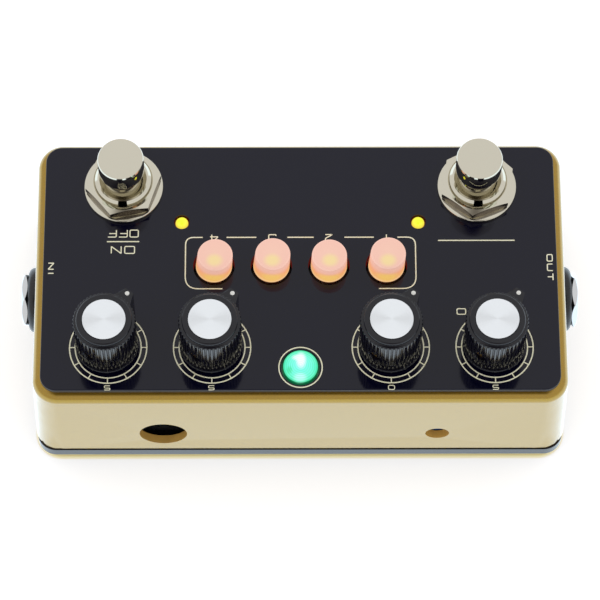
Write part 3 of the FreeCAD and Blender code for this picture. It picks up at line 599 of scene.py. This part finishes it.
dial = dict(flutes=48, pointsPerFlute=12, fluteWidth=0.54, fluteDepth=0.24, fluteEnd=0.35,
            gripRadius=6.4, gripTop=0.96, gripRound=0.3, footRadius=6.5, footHeight=0.6,
            footEdge=0.1, footStep=(0.04, 0.06), gripRows=84, crownRadius=5.72, crownDepth=0.82,
            crownStep=(0.05, 0.04), crownEdge=0.42,
            recessRadius=5.45, recessDepth=1.7, boreRadius=3.02, roof=1.6, discRadius=4.43,
            discDepth=0.7, discSink=0.12, discDish=0.03, discEdge=0.12, seatGap=0.03,
            seatLip=((0.12, 0), (0.04, 0.08)), nibAngle=55.0, nibReach=8.7, nibTip=1.0,
            nibSlope=0.374, nibDrop=1.75, nibEdge=0.16, nibBlend=0.28, wellRadius=1.3,
            wellHeight=5.5, wellFloor=3.5, wellEdge=0.16, dotRadius=0.47, dotReach=7.93,
            dotHeight=0.03, dotEdge=0.05, dotDepth=0.1)


def dialRadii(look):
    # At each angle: the offset from the nearest flute's middle, and the radius of the nib, where
    # its two slanting sides and its flat tip are met from the centre.
    count = look["flutes"] * look["pointsPerFlute"]
    angle = np.linspace(0, fullTurn, count, endpoint=False)
    pitch = fullTurn * look["gripRadius"] / look["flutes"]
    offset = ((angle * look["gripRadius"] + pitch / 2) % pitch) - pitch / 2
    away = (angle - np.radians(look["nibAngle"]) + np.pi) % fullTurn - np.pi
    side, ahead = np.sin(np.abs(away)), np.cos(away)
    slope, reach, sector = look["nibSlope"], look["nibReach"], 0.6
    forward = np.clip(ahead, 0.2, 1)  # never near nought, so that nothing divides by it
    slanted = (look["nibTip"] + slope * reach) / (side + slope * forward)
    nib = np.where(ahead > sector, np.minimum(slanted, reach / forward), 0.0)
    return angle, offset, away, nib


def gripRadius(look, offset, away, height, base, top):
    # The grip at one height: a circle less its flutes, each a shallow parabola across its width
    # that runs out near the top, with the lands' upper edge eased; the set screw's well is a round
    # dent opposite the nib.
    below = top - height
    depth = look["fluteDepth"] * np.clip(below / look["fluteEnd"], 0, 1) ** 0.5
    groove = np.clip(1 - (offset / (look["fluteWidth"] / 2)) ** 2, 0, None)
    bend = np.clip(1 - below / look["gripRound"], 0, 1)
    radius = look["gripRadius"] - depth * groove - look["gripRound"] * (1 - np.sqrt(1 - bend ** 2))
    across = look["gripRadius"] * (np.pi - np.abs(away))
    reach = np.hypot(across, height - base - look["wellHeight"])
    dent = np.clip((look["wellRadius"] - reach) / look["wellEdge"] + 0.5, 0, 1)
    return radius - (radius - look["wellFloor"]) * dent


def withNib(ring, nib, inset, blend):  # the larger of ring and nib, with a soft inner corner
    nib = nib - inset
    joined = 0.5 * (ring + nib + np.sqrt((ring - nib) ** 2 + blend ** 2))
    near = np.clip((nib - ring + 3 * blend) / (3 * blend), 0, 1)
    return ring + (joined - ring) * near


def makeDial(number, look):
    body = f"dial_{number}"
    centre = middleOf(f"knob_shaft_{number}")
    base, top = boxOf(f"knob_{number}")[0][2], boxOf(f"knob_{number}")[1][2]
    angle, offset, away, nib = dialRadii(look)
    blend, edge = look["nibBlend"], look["nibEdge"]
    nibTop = top - look["nibDrop"]
    gripLow, gripHigh = base + look["footHeight"], top - look["gripTop"]
    seat, bore = top - look["discDepth"], look["boreRadius"]
    foot, crown = look["footRadius"] + 0 * angle, look["crownRadius"] + 0 * angle
    recess, rim = base + look["recessDepth"], look["crownEdge"]
    rows = [(0, seat - look["roof"]), (bore, seat - look["roof"]), (bore, recess),
            (look["recessRadius"], recess), (look["recessRadius"], base)]
    bevel = look["footEdge"]
    rows += [(withNib(foot - bevel, nib, bevel, blend), base),
             (withNib(foot, nib, 0, blend), base + bevel),
             (withNib(foot, nib, 0, blend), gripLow - look["footStep"][1]),
             (withNib(foot - look["footStep"][0], nib, 0, blend), gripLow)]
    bend = look["gripRound"] * (1 - np.linspace(1, 0, 6)[1:] ** 2)
    straight = np.linspace(gripLow + 0.03, gripHigh - look["gripRound"], look["gripRows"])
    heights = np.concatenate([straight, gripHigh - look["gripRound"] + bend])
    nibRow = np.searchsorted(heights, nibTop) - 1  # the last row under the nib's top
    for row, height in enumerate(heights):
        grip = gripRadius(look, offset, away, height, base, gripHigh)
        rows.append((withNib(grip, nib, 0, blend), height))
        if row == nibRow:
            ease = edge * 0.3
            rows += [(withNib(grip, nib, ease, blend), nibTop - ease),
                     (withNib(grip, nib, edge, blend), nibTop), (grip, nibTop + 0.01)]
            nib = 0 * nib
    (wider, taller), shoulder = look["crownStep"], top - look["crownDepth"]
    rows += [(crown + wider, shoulder), (crown, shoulder + taller), (crown, top - rim)]
    rows += quarter(look["crownRadius"], top, rim, 9)[-2::-1]
    rows += [(look["discRadius"] + wider, top - down) for wider, down in look["seatLip"]]
    rows += [(look["discRadius"] + look["seatGap"], seat), (0, seat)]
    grid = placed(stacked(rows, angle), centre)
    makePiece(f"dialKnob.{number}", [(grid, False, True)], finish["knob_plastic"], body,
              (f"knob_{number}",), sharp=38)
    low, high = boxOf(f"knob_cap_{number}")
    radius, face = look["discRadius"], high[2] - look["discSink"]
    dish = look["discDish"]
    profile = [(0, face - dish), (0.5, face - dish)]
    profile += [(r, face - dish * (1 - r / radius)) for r in np.linspace(1.0, radius - 0.2, 12)]
    profile += quarter(radius, face, look["discEdge"], 4)[1:] + [(radius, low[2]), (0, low[2])]
    makePiece(f"dialDisc.{number}", [(placed(turned(profile, 128), centre), False, True)],
              finish["knob_disc"], body, (f"knob_cap_{number}",), sharp=30)
    reach, lean, size = look["dotReach"], np.radians(look["nibAngle"]), look["dotRadius"]
    dotAt = centre + np.array([reach * np.cos(lean), reach * np.sin(lean), nibTop])
    dot = turned([(0, look["dotHeight"]), (size - look["dotEdge"], look["dotHeight"]), (size, 0),
                  (size, -look["dotDepth"]), (0, -look["dotDepth"])], 32)
    makePiece(f"dialDot.{number}", [(placed(dot, dotAt), False, True)], finish["white_paint"], body)
    copyNode(f"knob_screw_{number}", f"dialScrew.{number}", finish["set_screw"], body)


for number in (1, 2, 3, 4):
    makeDial(number, dial)
print("dials made")


button = dict(radius=3.78, topRadius=3.65, edge=0.45, crown=0.1, skirt=0.12, wall=0.9, roof=1.4,
              shift=(0.0, 0.08), lean=((0.28, 0.27), (0.05, -0.2), (0.33, 0.13), (0.38, -0.08)))


def makeButton(number, look):
    # A cap turned from its profile: faintly crowned top, round edge, slightly leaning side, and a
    # hollow that is open underneath round the stem. Each leans a little its own way, within the
    # play that its hole leaves.
    low, high = boxOf(f"button_cap_{number}")
    centre = middleOf(f"button_cap_{number}")
    top, base, edge = high[2], low[2], look["edge"]
    profile = [(r * (look["topRadius"] - edge), top - look["crown"] * r ** 2)
               for r in np.linspace(0, 1, 13)]
    profile += quarter(look["topRadius"], top - look["crown"], edge, 7)[1:]
    side = np.linspace(0, 1, 18)[1:]
    start = top - look["crown"] - edge
    profile += [(look["topRadius"] + (look["radius"] - look["topRadius"]) * s,
                 start + (base + look["skirt"] - start) * s) for s in side]
    profile += [(look["radius"] - look["skirt"], base), (look["radius"] - look["wall"], base),
                (look["topRadius"] - look["wall"], top - look["roof"]), (0, top - look["roof"])]
    grid = placed(turned(profile, 96), centre)
    share = (grid[..., 2:] - base) / (top - base)
    grid[..., :2] += look["shift"] + share * look["lean"][number - 1]
    makePiece(f"buttonCap.{number}", [(grid, False, True)],
              finish["button_plastic"], f"button_{number}", (f"button_cap_{number}",),
              sharp=40, middle=centre + (0, 0, top))


for number in (1, 2, 3, 4):
    makeButton(number, button)
print("buttons made")


stomp = dict(seatShift=(0.1, 0.2, 0.0), capRadius=4.8, capHeight=4.9, capBevel=0.16,
             capSlope=1.73, capEdge=0.35, neckRadius=4.05, collarRadius=4.9, collarHeight=1.2,
             bushRadius=5.9, bushBore=4.17, boreChamfer=0.8, topChamfer=0.55, flangeRadius=6.6,
             flangeHeight=0.8, keyWidth=1.95, keyDepth=0.6, threadPitch=0.75, threadDepth=0.14,
             nutAcross=14.0, nutSlope=30.0, nutMargin=0.15, leftTurn=11.0, rightTurn=21.5,
             threadPlay=0.03, washerRadius=8.3, washerEdge=0.25)


def hexNut(across, hole, low, high, cornerAt, margin, slope, segments=120):
    # A six-sided prism met by a chamfer cone at each end: at each angle the side lies at the flat's
    # distance over the cosine of the angle to that flat, and the cone drops from the face circle by
    # the tangent of its slope.
    angle = np.linspace(0, fullTurn, segments, endpoint=False)
    flat = (angle + np.pi / 6) % (np.pi / 3) - np.pi / 6
    side = across / 2 / np.cos(flat)
    face = across / 2 - margin
    drop = (side - face) * np.tan(np.radians(slope))
    lip = 0.3  # the chamfer where the thread starts
    rows = [(hole, low + lip), (hole, high - lip), (hole + lip, high), (face, high),
            (side, high - drop), (side, low + drop), (face, low), (hole + lip, low)]
    return stacked(rows, angle + np.radians(cornerAt - 30))


def keyedBush(look, low, high):
    # A threaded tube whose rim has a key slot: the outer radius drops to the slot's floor between
    # two angles, and the thread is a triangle wave down its height.
    half = np.arcsin(look["keyWidth"] / 2 / look["bushRadius"])
    slot = -np.pi / 2
    angle = np.concatenate([[slot - half, slot - half],
                            np.linspace(slot - half, slot + half, 7)[1:-1],
                            [slot + half, slot + half],
                            np.linspace(slot + half, slot - half + fullTurn, 96)[1:-1]])
    floor = np.zeros(len(angle))
    floor[1:8] = look["keyDepth"]
    outer, edge, bore = look["bushRadius"], look["topChamfer"], look["bushBore"]
    flangeTop = low + look["flangeHeight"]
    heights = np.arange(high - edge, flangeTop + 0.1, -look["threadPitch"] / 4)
    wave = np.abs((np.arange(len(heights)) / 4) % 1 - 0.5) * 2
    rows = [(bore, low), (bore, high - look["boreChamfer"]), (bore + look["boreChamfer"], high),
            (np.minimum(outer - edge, outer - floor), high)]
    rows += [(outer - np.maximum(look["threadDepth"] * (1 - step), floor), height)
             for height, step in zip(heights, wave)]
    rows += [(outer - floor, flangeTop), (look["flangeRadius"], flangeTop),
             (look["flangeRadius"], low)]
    return stacked(rows, angle)


def makeFootSwitches(look):
    bushLow, bushHigh = boxOf("foot_switch_bushes")
    nutLow, nutHigh = boxOf("foot_switch_nuts")
    washerLow, washerHigh = boxOf("foot_switch_washers")
    bushes, nuts, washers = [], [], []
    for side, cornerAt in (("left", look["leftTurn"]), ("right", look["rightTurn"])):
        node = f"{side}_foot_plunger"
        low, high = boxOf(node)
        centre, cap, neck = middleOf(node), look["capRadius"], look["neckRadius"]
        seat = centre + np.array(look["seatShift"])
        under, collar = high[2] - look["capHeight"], low[2] + look["collarHeight"]
        bevel = look["capBevel"]
        bevelFoot = high[2] - bevel * look["capSlope"]
        profile = [(0, high[2]), (cap - bevel, high[2]), (cap - 0.02, bevelFoot),
                   (cap, bevelFoot - 0.05)]
        profile += [(cap, under + look["capEdge"]), (cap - look["capEdge"], under),
                    (neck + 0.1, under), (neck, under - 0.1), (neck, collar),
                    (look["collarRadius"], collar), (look["collarRadius"], low[2]), (0, low[2])]
        makePiece(f"{side}FootButton", [(placed(turned(profile, 128), centre), False, True)],
                  finish["chrome"], f"{side}_foot_button", (node,),
                  sharp=36)
        bushes.append((placed(keyedBush(look, bushLow[2], bushHigh[2]), seat), True, True))
        hole = look["bushRadius"] + look["threadPlay"]
        nut = hexNut(look["nutAcross"], hole, nutLow[2], nutHigh[2], cornerAt, look["nutMargin"],
                     look["nutSlope"])
        nuts.append((placed(nut, seat), True, True))
        ring = [(hole, washerLow[2]), (hole, washerHigh[2])]
        ring += quarter(look["washerRadius"], washerHigh[2], look["washerEdge"], 4)
        washers.append((placed(turned(ring + [(look["washerRadius"], washerLow[2])], 128), seat),
                        True, True))
    makePiece("footBushes", bushes, finish["chrome"], root, ("foot_switch_bushes",))
    piece = makePiece("footNuts", nuts, finish["chrome"], root, ("foot_switch_nuts",),
                      sharp=20)
    upright = 0.3  # keeps the chamfers, which lean more, bright
    # the nuts' upright flats take a painted dark reflection
    paintFaces(piece, finish["flats_painted_dark"], np.abs(faceFacts(piece)[1][:, 2]) < upright)
    makePiece("footWashers", washers, finish["chrome"], root, ("foot_switch_washers",),
              sharp=50)


makeFootSwitches(stomp)
print("foot switches made")


lamp = dict(panel=2.2, domeRadius=1.36, sink=0.5, rimRadius=1.9, rimHeight=0.9, bodyLength=5.2,
            legRadius=0.25, legPitch=1.27, legLap=0.2, lensRadius=3.58, lensDome=0.9, lensRim=4.3,
            lensRings=7, lensRipple=0.04)


def makeLamps(look):
    # Each lamp is a dome on a short barrel with a rim under the panel, on two wire legs.
    low, high = boxOf("indicator_leds")
    middle, radius, top = (low[1] + high[1]) / 2, look["domeRadius"], high[2] - look["sink"]
    under = boxOf("enclosure")[1][2] - look["panel"]
    rim = look["rimRadius"]
    grids = []
    for x in (low[0] + rim, high[0] - rim):
        profile = quarter(radius, top, radius, 14)
        profile += [(radius, top - radius - (top - radius - under) * s) for s in (0.25, 0.5, 1)]
        profile += [(rim, under), (rim, under - look["rimHeight"])]
        foot = min(top - look["bodyLength"], under - look["rimHeight"])
        profile += [(radius, under - look["rimHeight"]), (radius, foot), (0, foot)]
        grids.append((placed(turned(profile, 48), (x, middle, 0)), False, True))
        for side in (-1, 1):
            start = foot + look["legLap"]
            leg = turned([(0, start), (look["legRadius"], start), (look["legRadius"], low[2]),
                          (0, low[2])], 12)
            grids.append((placed(leg, (x + side * look["legPitch"], middle, 0)), False, True))
    makePiece("indicatorLamps", grids, finish["amber_led"], root, ("indicator_leds",),
              sharp=60)


def makeLens(look):
    # A dome with shallow rings: the height falls with the square of the radius, less a cosine
    # ripple that repeats a fixed number of times from the middle to the edge.
    low, high = boxOf("level_lens")
    radius, edge = look["lensRadius"], high[2] - look["lensDome"]
    under = boxOf("enclosure")[1][2] - look["panel"]
    r = np.linspace(0, 1, 70)
    ripple = look["lensRipple"] * (1 - np.cos(r * look["lensRings"] * fullTurn)) / 2
    crown = high[2] - look["lensDome"] * r ** 2 - ripple
    profile = list(zip(r * radius, crown))
    profile += [(radius, edge - 0.3), (radius, edge - 1.2), (radius, under),
                (look["lensRim"], under), (look["lensRim"], low[2]), (0, low[2])]
    centre = middleOf("level_lens")
    makePiece("levelLens", [(placed(turned(profile, 96), centre), False, True)],
              finish["green_lens"], root, ("level_lens",), sharp=60,
              middle=centre + (0, 0, high[2]))


makeLamps(lamp)
makeLens(lamp)
print("lamps made")


socket = dict(collarFoot=6.95, collarHeight=1.75, collarRound=1.4, bore=4.53, nutAcross=10.6,
              nutThickness=1.25, nutMargin=0.12, nutSlope=30.0, inTurn=51.4, outTurn=7.0)


def makeSockets(look):
    collarLow, collarHigh = boxOf("jack_collars")
    nutTop = boxOf("jack_nuts")[1][0]
    middle, outer = (collarLow + collarHigh) / 2, collarHigh[0]
    inner = outer - look["collarHeight"]
    place = (0, middle[1], middle[2])
    collars, nuts = [], []
    for axis, cornerAt in (("-x", look["inTurn"]), ("x", look["outTurn"])):
        shell = [(look["bore"], inner), (look["bore"], outer)]
        shell += quarter(look["collarFoot"], outer, look["collarRound"], 8)
        shell += [(look["collarFoot"], inner)]
        collars.append((placed(turned(shell, 96), place, axis), True, True))
        nut = hexNut(look["nutAcross"], look["bore"], nutTop - look["nutThickness"], nutTop,
                     cornerAt, look["nutMargin"], look["nutSlope"])
        nuts.append((placed(nut, place, axis), True, True))
    makePiece("jackCollars", collars, finish["jack_plastic"], root, ("jack_collars",),
              sharp=30)
    makePiece("jackNuts", nuts, finish["nut_plating"], root, ("jack_nuts",),
              sharp=20)


makeSockets(socket)
print("sockets made")


ink = dict(low=-0.02, high=0.025, overlap=0.003, line=0.25, ringLine=0.26, tickLine=0.22,
           ringOuter=7.97, ringInner=6.8, ringShift=(0.2, -0.07, 0.0), tickStep=30.0,
           tickCount=11, glyphLine=0.23, smallLine=0.17, smallHeight=1.0, glyphCorner=0.3,
           frameLeft=-23.96, frameRight=24.15, frameNear=-5.02, frameFar=6.76, frameCorner=2.8,
           nearLeft=-16.2, nearRight=16.4, lensRing=4.46, lensRingSteps=144,
           farGaps=((-20.4, -15.4), (-9.15, -2.65), (2.85, 9.3), (15.45, 20.4)),
           bars=(((-40.42, 5.82), (-33.66, 5.82)), ((28.9, 5.99), (44.94, 5.99))))
strokes = {  # each sign in a box one wide and one high, as lines of points
    "0": [[(0, 0), (1, 0), (1, 1), (0, 1), "closed"]],
    "1": [[(0.5, 0), (0.5, 1)], [(0.5, 1), (0.2, 0.78)]],
    "2": [[(0, 0.75), (0, 1), (1, 1), (1, 0.45), (0, 0), (1, 0)]],
    "3": [[(0, 0.85), (0, 1), (1, 1), (1, 0), (0, 0), (0, 0.15)], [(0.25, 0.52), (1, 0.52)]],
    "4": [[(0.78, 0), (0.78, 1)], [(0.78, 1), (0, 0.25)], [(0, 0.25), (1, 0.25)]],
    "5": [[(1, 1), (0, 1), (0, 0.55), (1, 0.55), (1, 0), (0, 0)]],
    "O": [[(0, 0), (1, 0), (1, 1), (0, 1), "closed"]],
    "N": [[(0, 0), (0, 1)], [(0, 1), (1, 0)], [(1, 0), (1, 1)]],
    "F": [[(0, 0), (0, 1), (1, 1)], [(0, 0.5), (0.85, 0.5)]],
    "I": [[(0.5, 0), (0.5, 1)]],
    "U": [[(0, 1), (0, 0), (1, 0), (1, 1)]],
    "T": [[(0, 1), (1, 1)], [(0.5, 1), (0.5, 0)]],
}
words = [  # text, middle, size of one sign, gap, reading direction in degrees from +X
    ("OFF", (-37.07, 7.68), (1.74, 1.6), 0.56, 180), ("ON", (-37.05, 3.9), (2.05, 1.6), 0.75, 180),
    ("IN", (-51.99, -0.62), (1.4, 1.15), 0.22, 90), ("OUT", (52.16, -0.24), (1.5, 1.1), 0.67, -90),
    ("4", (-18.02, 6.42), (1.65, 1.9), 0, 180), ("3", (-5.81, 6.42), (1.5, 1.9), 0, 180),
    ("2", (6.06, 6.42), (1.5, 1.9), 0, 180), ("1", (18.1, 6.42), (1.5, 1.9), 0, 180),
    ("5", (-39.74, -27.27), (1.15, 0.93), 0, 180), ("5", (-18.33, -27.27), (1.15, 0.93), 0, 180),
    ("0", (18.67, -27.27), (1.25, 0.93), 0, 180), ("5", (40.09, -27.27), (1.15, 0.93), 0, 180),
    ("0", (33.41, -10.27), (1.8, 1.25), 0, 180),
]


def signRibbons(text, centre, size, gap, heading, look, low, high):
    # Lays signs in a row, centred on a point and turned to their reading direction.
    width, height = size
    total = len(text) * width + (len(text) - 1) * gap
    turn = np.radians(heading)
    across = np.array([np.cos(turn), np.sin(turn)])
    rising = np.array([-np.sin(turn), np.cos(turn)])
    grids = []
    for index, sign in enumerate(text):
        left = -total / 2 + index * (width + gap)
        for layer, stroke in enumerate(strokes[sign]):
            closed = stroke[-1] == "closed"
            cells = np.array(stroke[:-1] if closed else stroke, float)
            flat = np.stack([left + cells[:, 0] * width, (cells[:, 1] - 0.5) * height], -1)
            line = rounded(flat, look["glyphCorner"], 4, closed)
            path = np.asarray(centre) + line[:, [0]] * across + line[:, [1]] * rising
            pen = look["smallLine" if height < look["smallHeight"] else "glyphLine"]
            grids.append(ribbon(path, pen, low, high + look["overlap"] * layer, closed))
    return grids


def dialScale(centre, look, low, high):
    # Two rings with cross ticks round a dial, open at the far side.
    half = look["tickStep"] * (look["tickCount"] - 1) / 2
    first, last = -90 - half, -90 + half
    grids = [ribbon(arcPath(centre, radius, first, last, 151), look["ringLine"], low, high)
             for radius in (look["ringOuter"], look["ringInner"])]
    for angle in np.linspace(first, last, look["tickCount"]):
        ends = [arcPath(centre, look[key], angle, angle, 1)[0]
                for key in ("ringInner", "ringOuter")]
        grids.append(ribbon(ends, look["tickLine"], low, high + look["overlap"]))
    return grids


def makePrint(look):
    plateTop = boxOf("face_plate")[1][2]
    low, high = plateTop + look["low"], plateTop + look["high"]
    line = look["line"]
    grids = []
    for number in (1, 2, 3, 4):
        middle = middleOf(f"knob_shaft_{number}") + np.array(look["ringShift"])
        grids += dialScale(middle, look, low, high)
    left, right, near, far = (look[k] for k in ("frameLeft", "frameRight", "frameNear", "frameFar"))
    gaps = look["farGaps"]
    leftSide = [(look["nearLeft"], near), (left, near), (left, far), (gaps[0][0], far)]
    rightSide = [(look["nearRight"], near), (right, near), (right, far), (gaps[-1][1], far)]
    for side in (leftSide, rightSide):
        grids.append(ribbon(rounded(side, look["frameCorner"], 8), line, low, high))
    for (_, start), (stop, _) in zip(gaps[:-1], gaps[1:]):
        grids.append(ribbon([(start, far), (stop, far)], line, low, high))
    for text, centre, size, gap, heading in words:
        grids += signRibbons(text, centre, size, gap, heading, look, low, high)
    grids += [ribbon(bar, line, low, high) for bar in look["bars"]]
    steps = look["lensRingSteps"]
    ring = arcPath(middleOf("level_lens"), look["lensRing"], 0, 360 - 360 / steps, steps)
    grids.append(ribbon(ring, line, low, high, True))
    makePiece("screenPrint", grids, finish["print"], root, sharp=30)


makePrint(ink)
print("print laid")


# Near the case the floor takes a painted contact shadow tinted with painted gold bounce light.
studio = dict(floorSize=3.0, foot=(55.6, 29.9), footCorner=5.0, paintedContactReach=1.0,
              paintedContactStops=((0.0, "#cfc088"), (0.45, "#ebe0b4"), (0.75, "#ece2c8"), (1.0, "#f4f4f4")),
              cameraLift=0.52, mirrorTone="#e6f4ff", mirrorStrength=1.72, skyStrength=0.93,
              shadeReach=30.0,
              shade=((0.0, "#5c5650"), (0.3, "#706a64"), (0.5, "#a8a4a0"), (0.7, "#dcdad8"),
                     (0.85, "#f4f3f2"), (1.0, "#ffffff")))


def makeFloor(look):
    # A wide flat sheet at the height of the feet, overexposed as a lit table is: the camera sees it
    # lifted to white, with the part's shadow kept, and a shiny surface mirrors it as a plain pale
    # blue-white light. Close to the case its colour is a painted contact shadow tinted with painted
    # gold bounce light from the sides: it follows the distance to the footprint, the length of
    # max(|p| - half size, 0) less the corner's radius.
    half = look["floorSize"] / 2
    x, y = np.meshgrid(np.linspace(-half, half, 3), np.linspace(-half, half, 3))
    points = np.stack([x, y, 0 * x], -1).reshape(-1, 3)
    mesh = bpy.data.meshes.new("floor")
    mesh.from_pydata(points.tolist(), [], gridFaces(3, 3, False, False).tolist())
    material = bpy.data.materials.new("pale paper floor")
    material.use_nodes = True
    tree = material.node_tree
    tree.nodes.clear()
    path = addNode(tree, "ShaderNodeLightPath")
    corner = look["footCorner"]
    place = addNode(tree, "ShaderNodeTexCoord")
    mirrored = addNode(tree, "ShaderNodeVectorMath", {"operation": "ABSOLUTE"},
                       {0: place.outputs["Object"]})
    straight = tuple((v - corner) * mm for v in (*look["foot"], corner))
    past = addNode(tree, "ShaderNodeVectorMath", {"operation": "SUBTRACT", 1: straight},
                   {0: mirrored.outputs["Vector"]})
    outside = addNode(tree, "ShaderNodeVectorMath", {"operation": "MAXIMUM", 1: (0, 0, 0)},
                      {0: past.outputs["Vector"]})
    reach = addNode(tree, "ShaderNodeVectorMath", {"operation": "LENGTH"},
                    {0: outside.outputs["Vector"]})
    share = addNode(tree, "ShaderNodeMapRange",
                    {"From Min": corner * mm, "From Max": (corner + look["paintedContactReach"]) * mm},
                    {"Value": reach.outputs["Value"]})
    tone = addNode(tree, "ShaderNodeValToRGB", {"stops": look["paintedContactStops"]},
                   {"Fac": share.outputs["Result"]})
    seen = addNode(tree, "ShaderNodeMath", {"operation": "MULTIPLY", 1: look["cameraLift"]},
                   {0: path.outputs["Is Camera Ray"]})
    paper = addNode(tree, "ShaderNodeBsdfPrincipled", {"Roughness": 0.8},
                    {"Base Color": tone.outputs["Color"], "Emission Color": tone.outputs["Color"],
                     "Emission Strength": seen.outputs["Value"]})
    glare = addNode(tree, "ShaderNodeEmission",
                    {"Color": hexColour(look["mirrorTone"]), "Strength": look["mirrorStrength"]})
    either = addNode(tree, "ShaderNodeMixShader", {},
                     {0: path.outputs["Is Glossy Ray"], 1: paper.outputs["BSDF"],
                      2: glare.outputs["Emission"]})
    addNode(tree, "ShaderNodeOutputMaterial", {}, {"Surface": either.outputs["Shader"]})
    mesh.materials.append(material)
    floor = bpy.data.objects.new("floor", mesh)
    bpy.context.scene.collection.objects.link(floor)


def makeSky(look, away):
    # One even white tent of light, with a soft dark patch where the camera looks in through it: the
    # ramp follows the angle from that direction.
    world = bpy.data.worlds.new("studio")
    world.use_nodes = True
    tree = world.node_tree
    tree.nodes.clear()
    place = addNode(tree, "ShaderNodeTexCoord")
    facing = addNode(tree, "ShaderNodeVectorMath", {"operation": "DOT_PRODUCT", 1: tuple(away)},
                     {0: place.outputs["Generated"]})
    angle = addNode(tree, "ShaderNodeMath", {"operation": "ARCCOSINE"},
                    {0: facing.outputs["Value"]})
    share = addNode(tree, "ShaderNodeMath",
                    {"operation": "DIVIDE", 1: np.radians(look["shadeReach"])},
                    {0: angle.outputs["Value"]})
    shade = addNode(tree, "ShaderNodeValToRGB", {"stops": look["shade"]},
                    {"Fac": share.outputs["Value"]})
    glow = addNode(tree, "ShaderNodeBackground", {"Strength": look["skyStrength"]},
                   {"Color": shade.outputs["Color"]})
    addNode(tree, "ShaderNodeOutputWorld", {}, {"Surface": glow.outputs["Background"]})
    bpy.context.scene.world = world


makeFloor(studio)
makeSky(studio, towardsCamera(camera))
print("stage set")
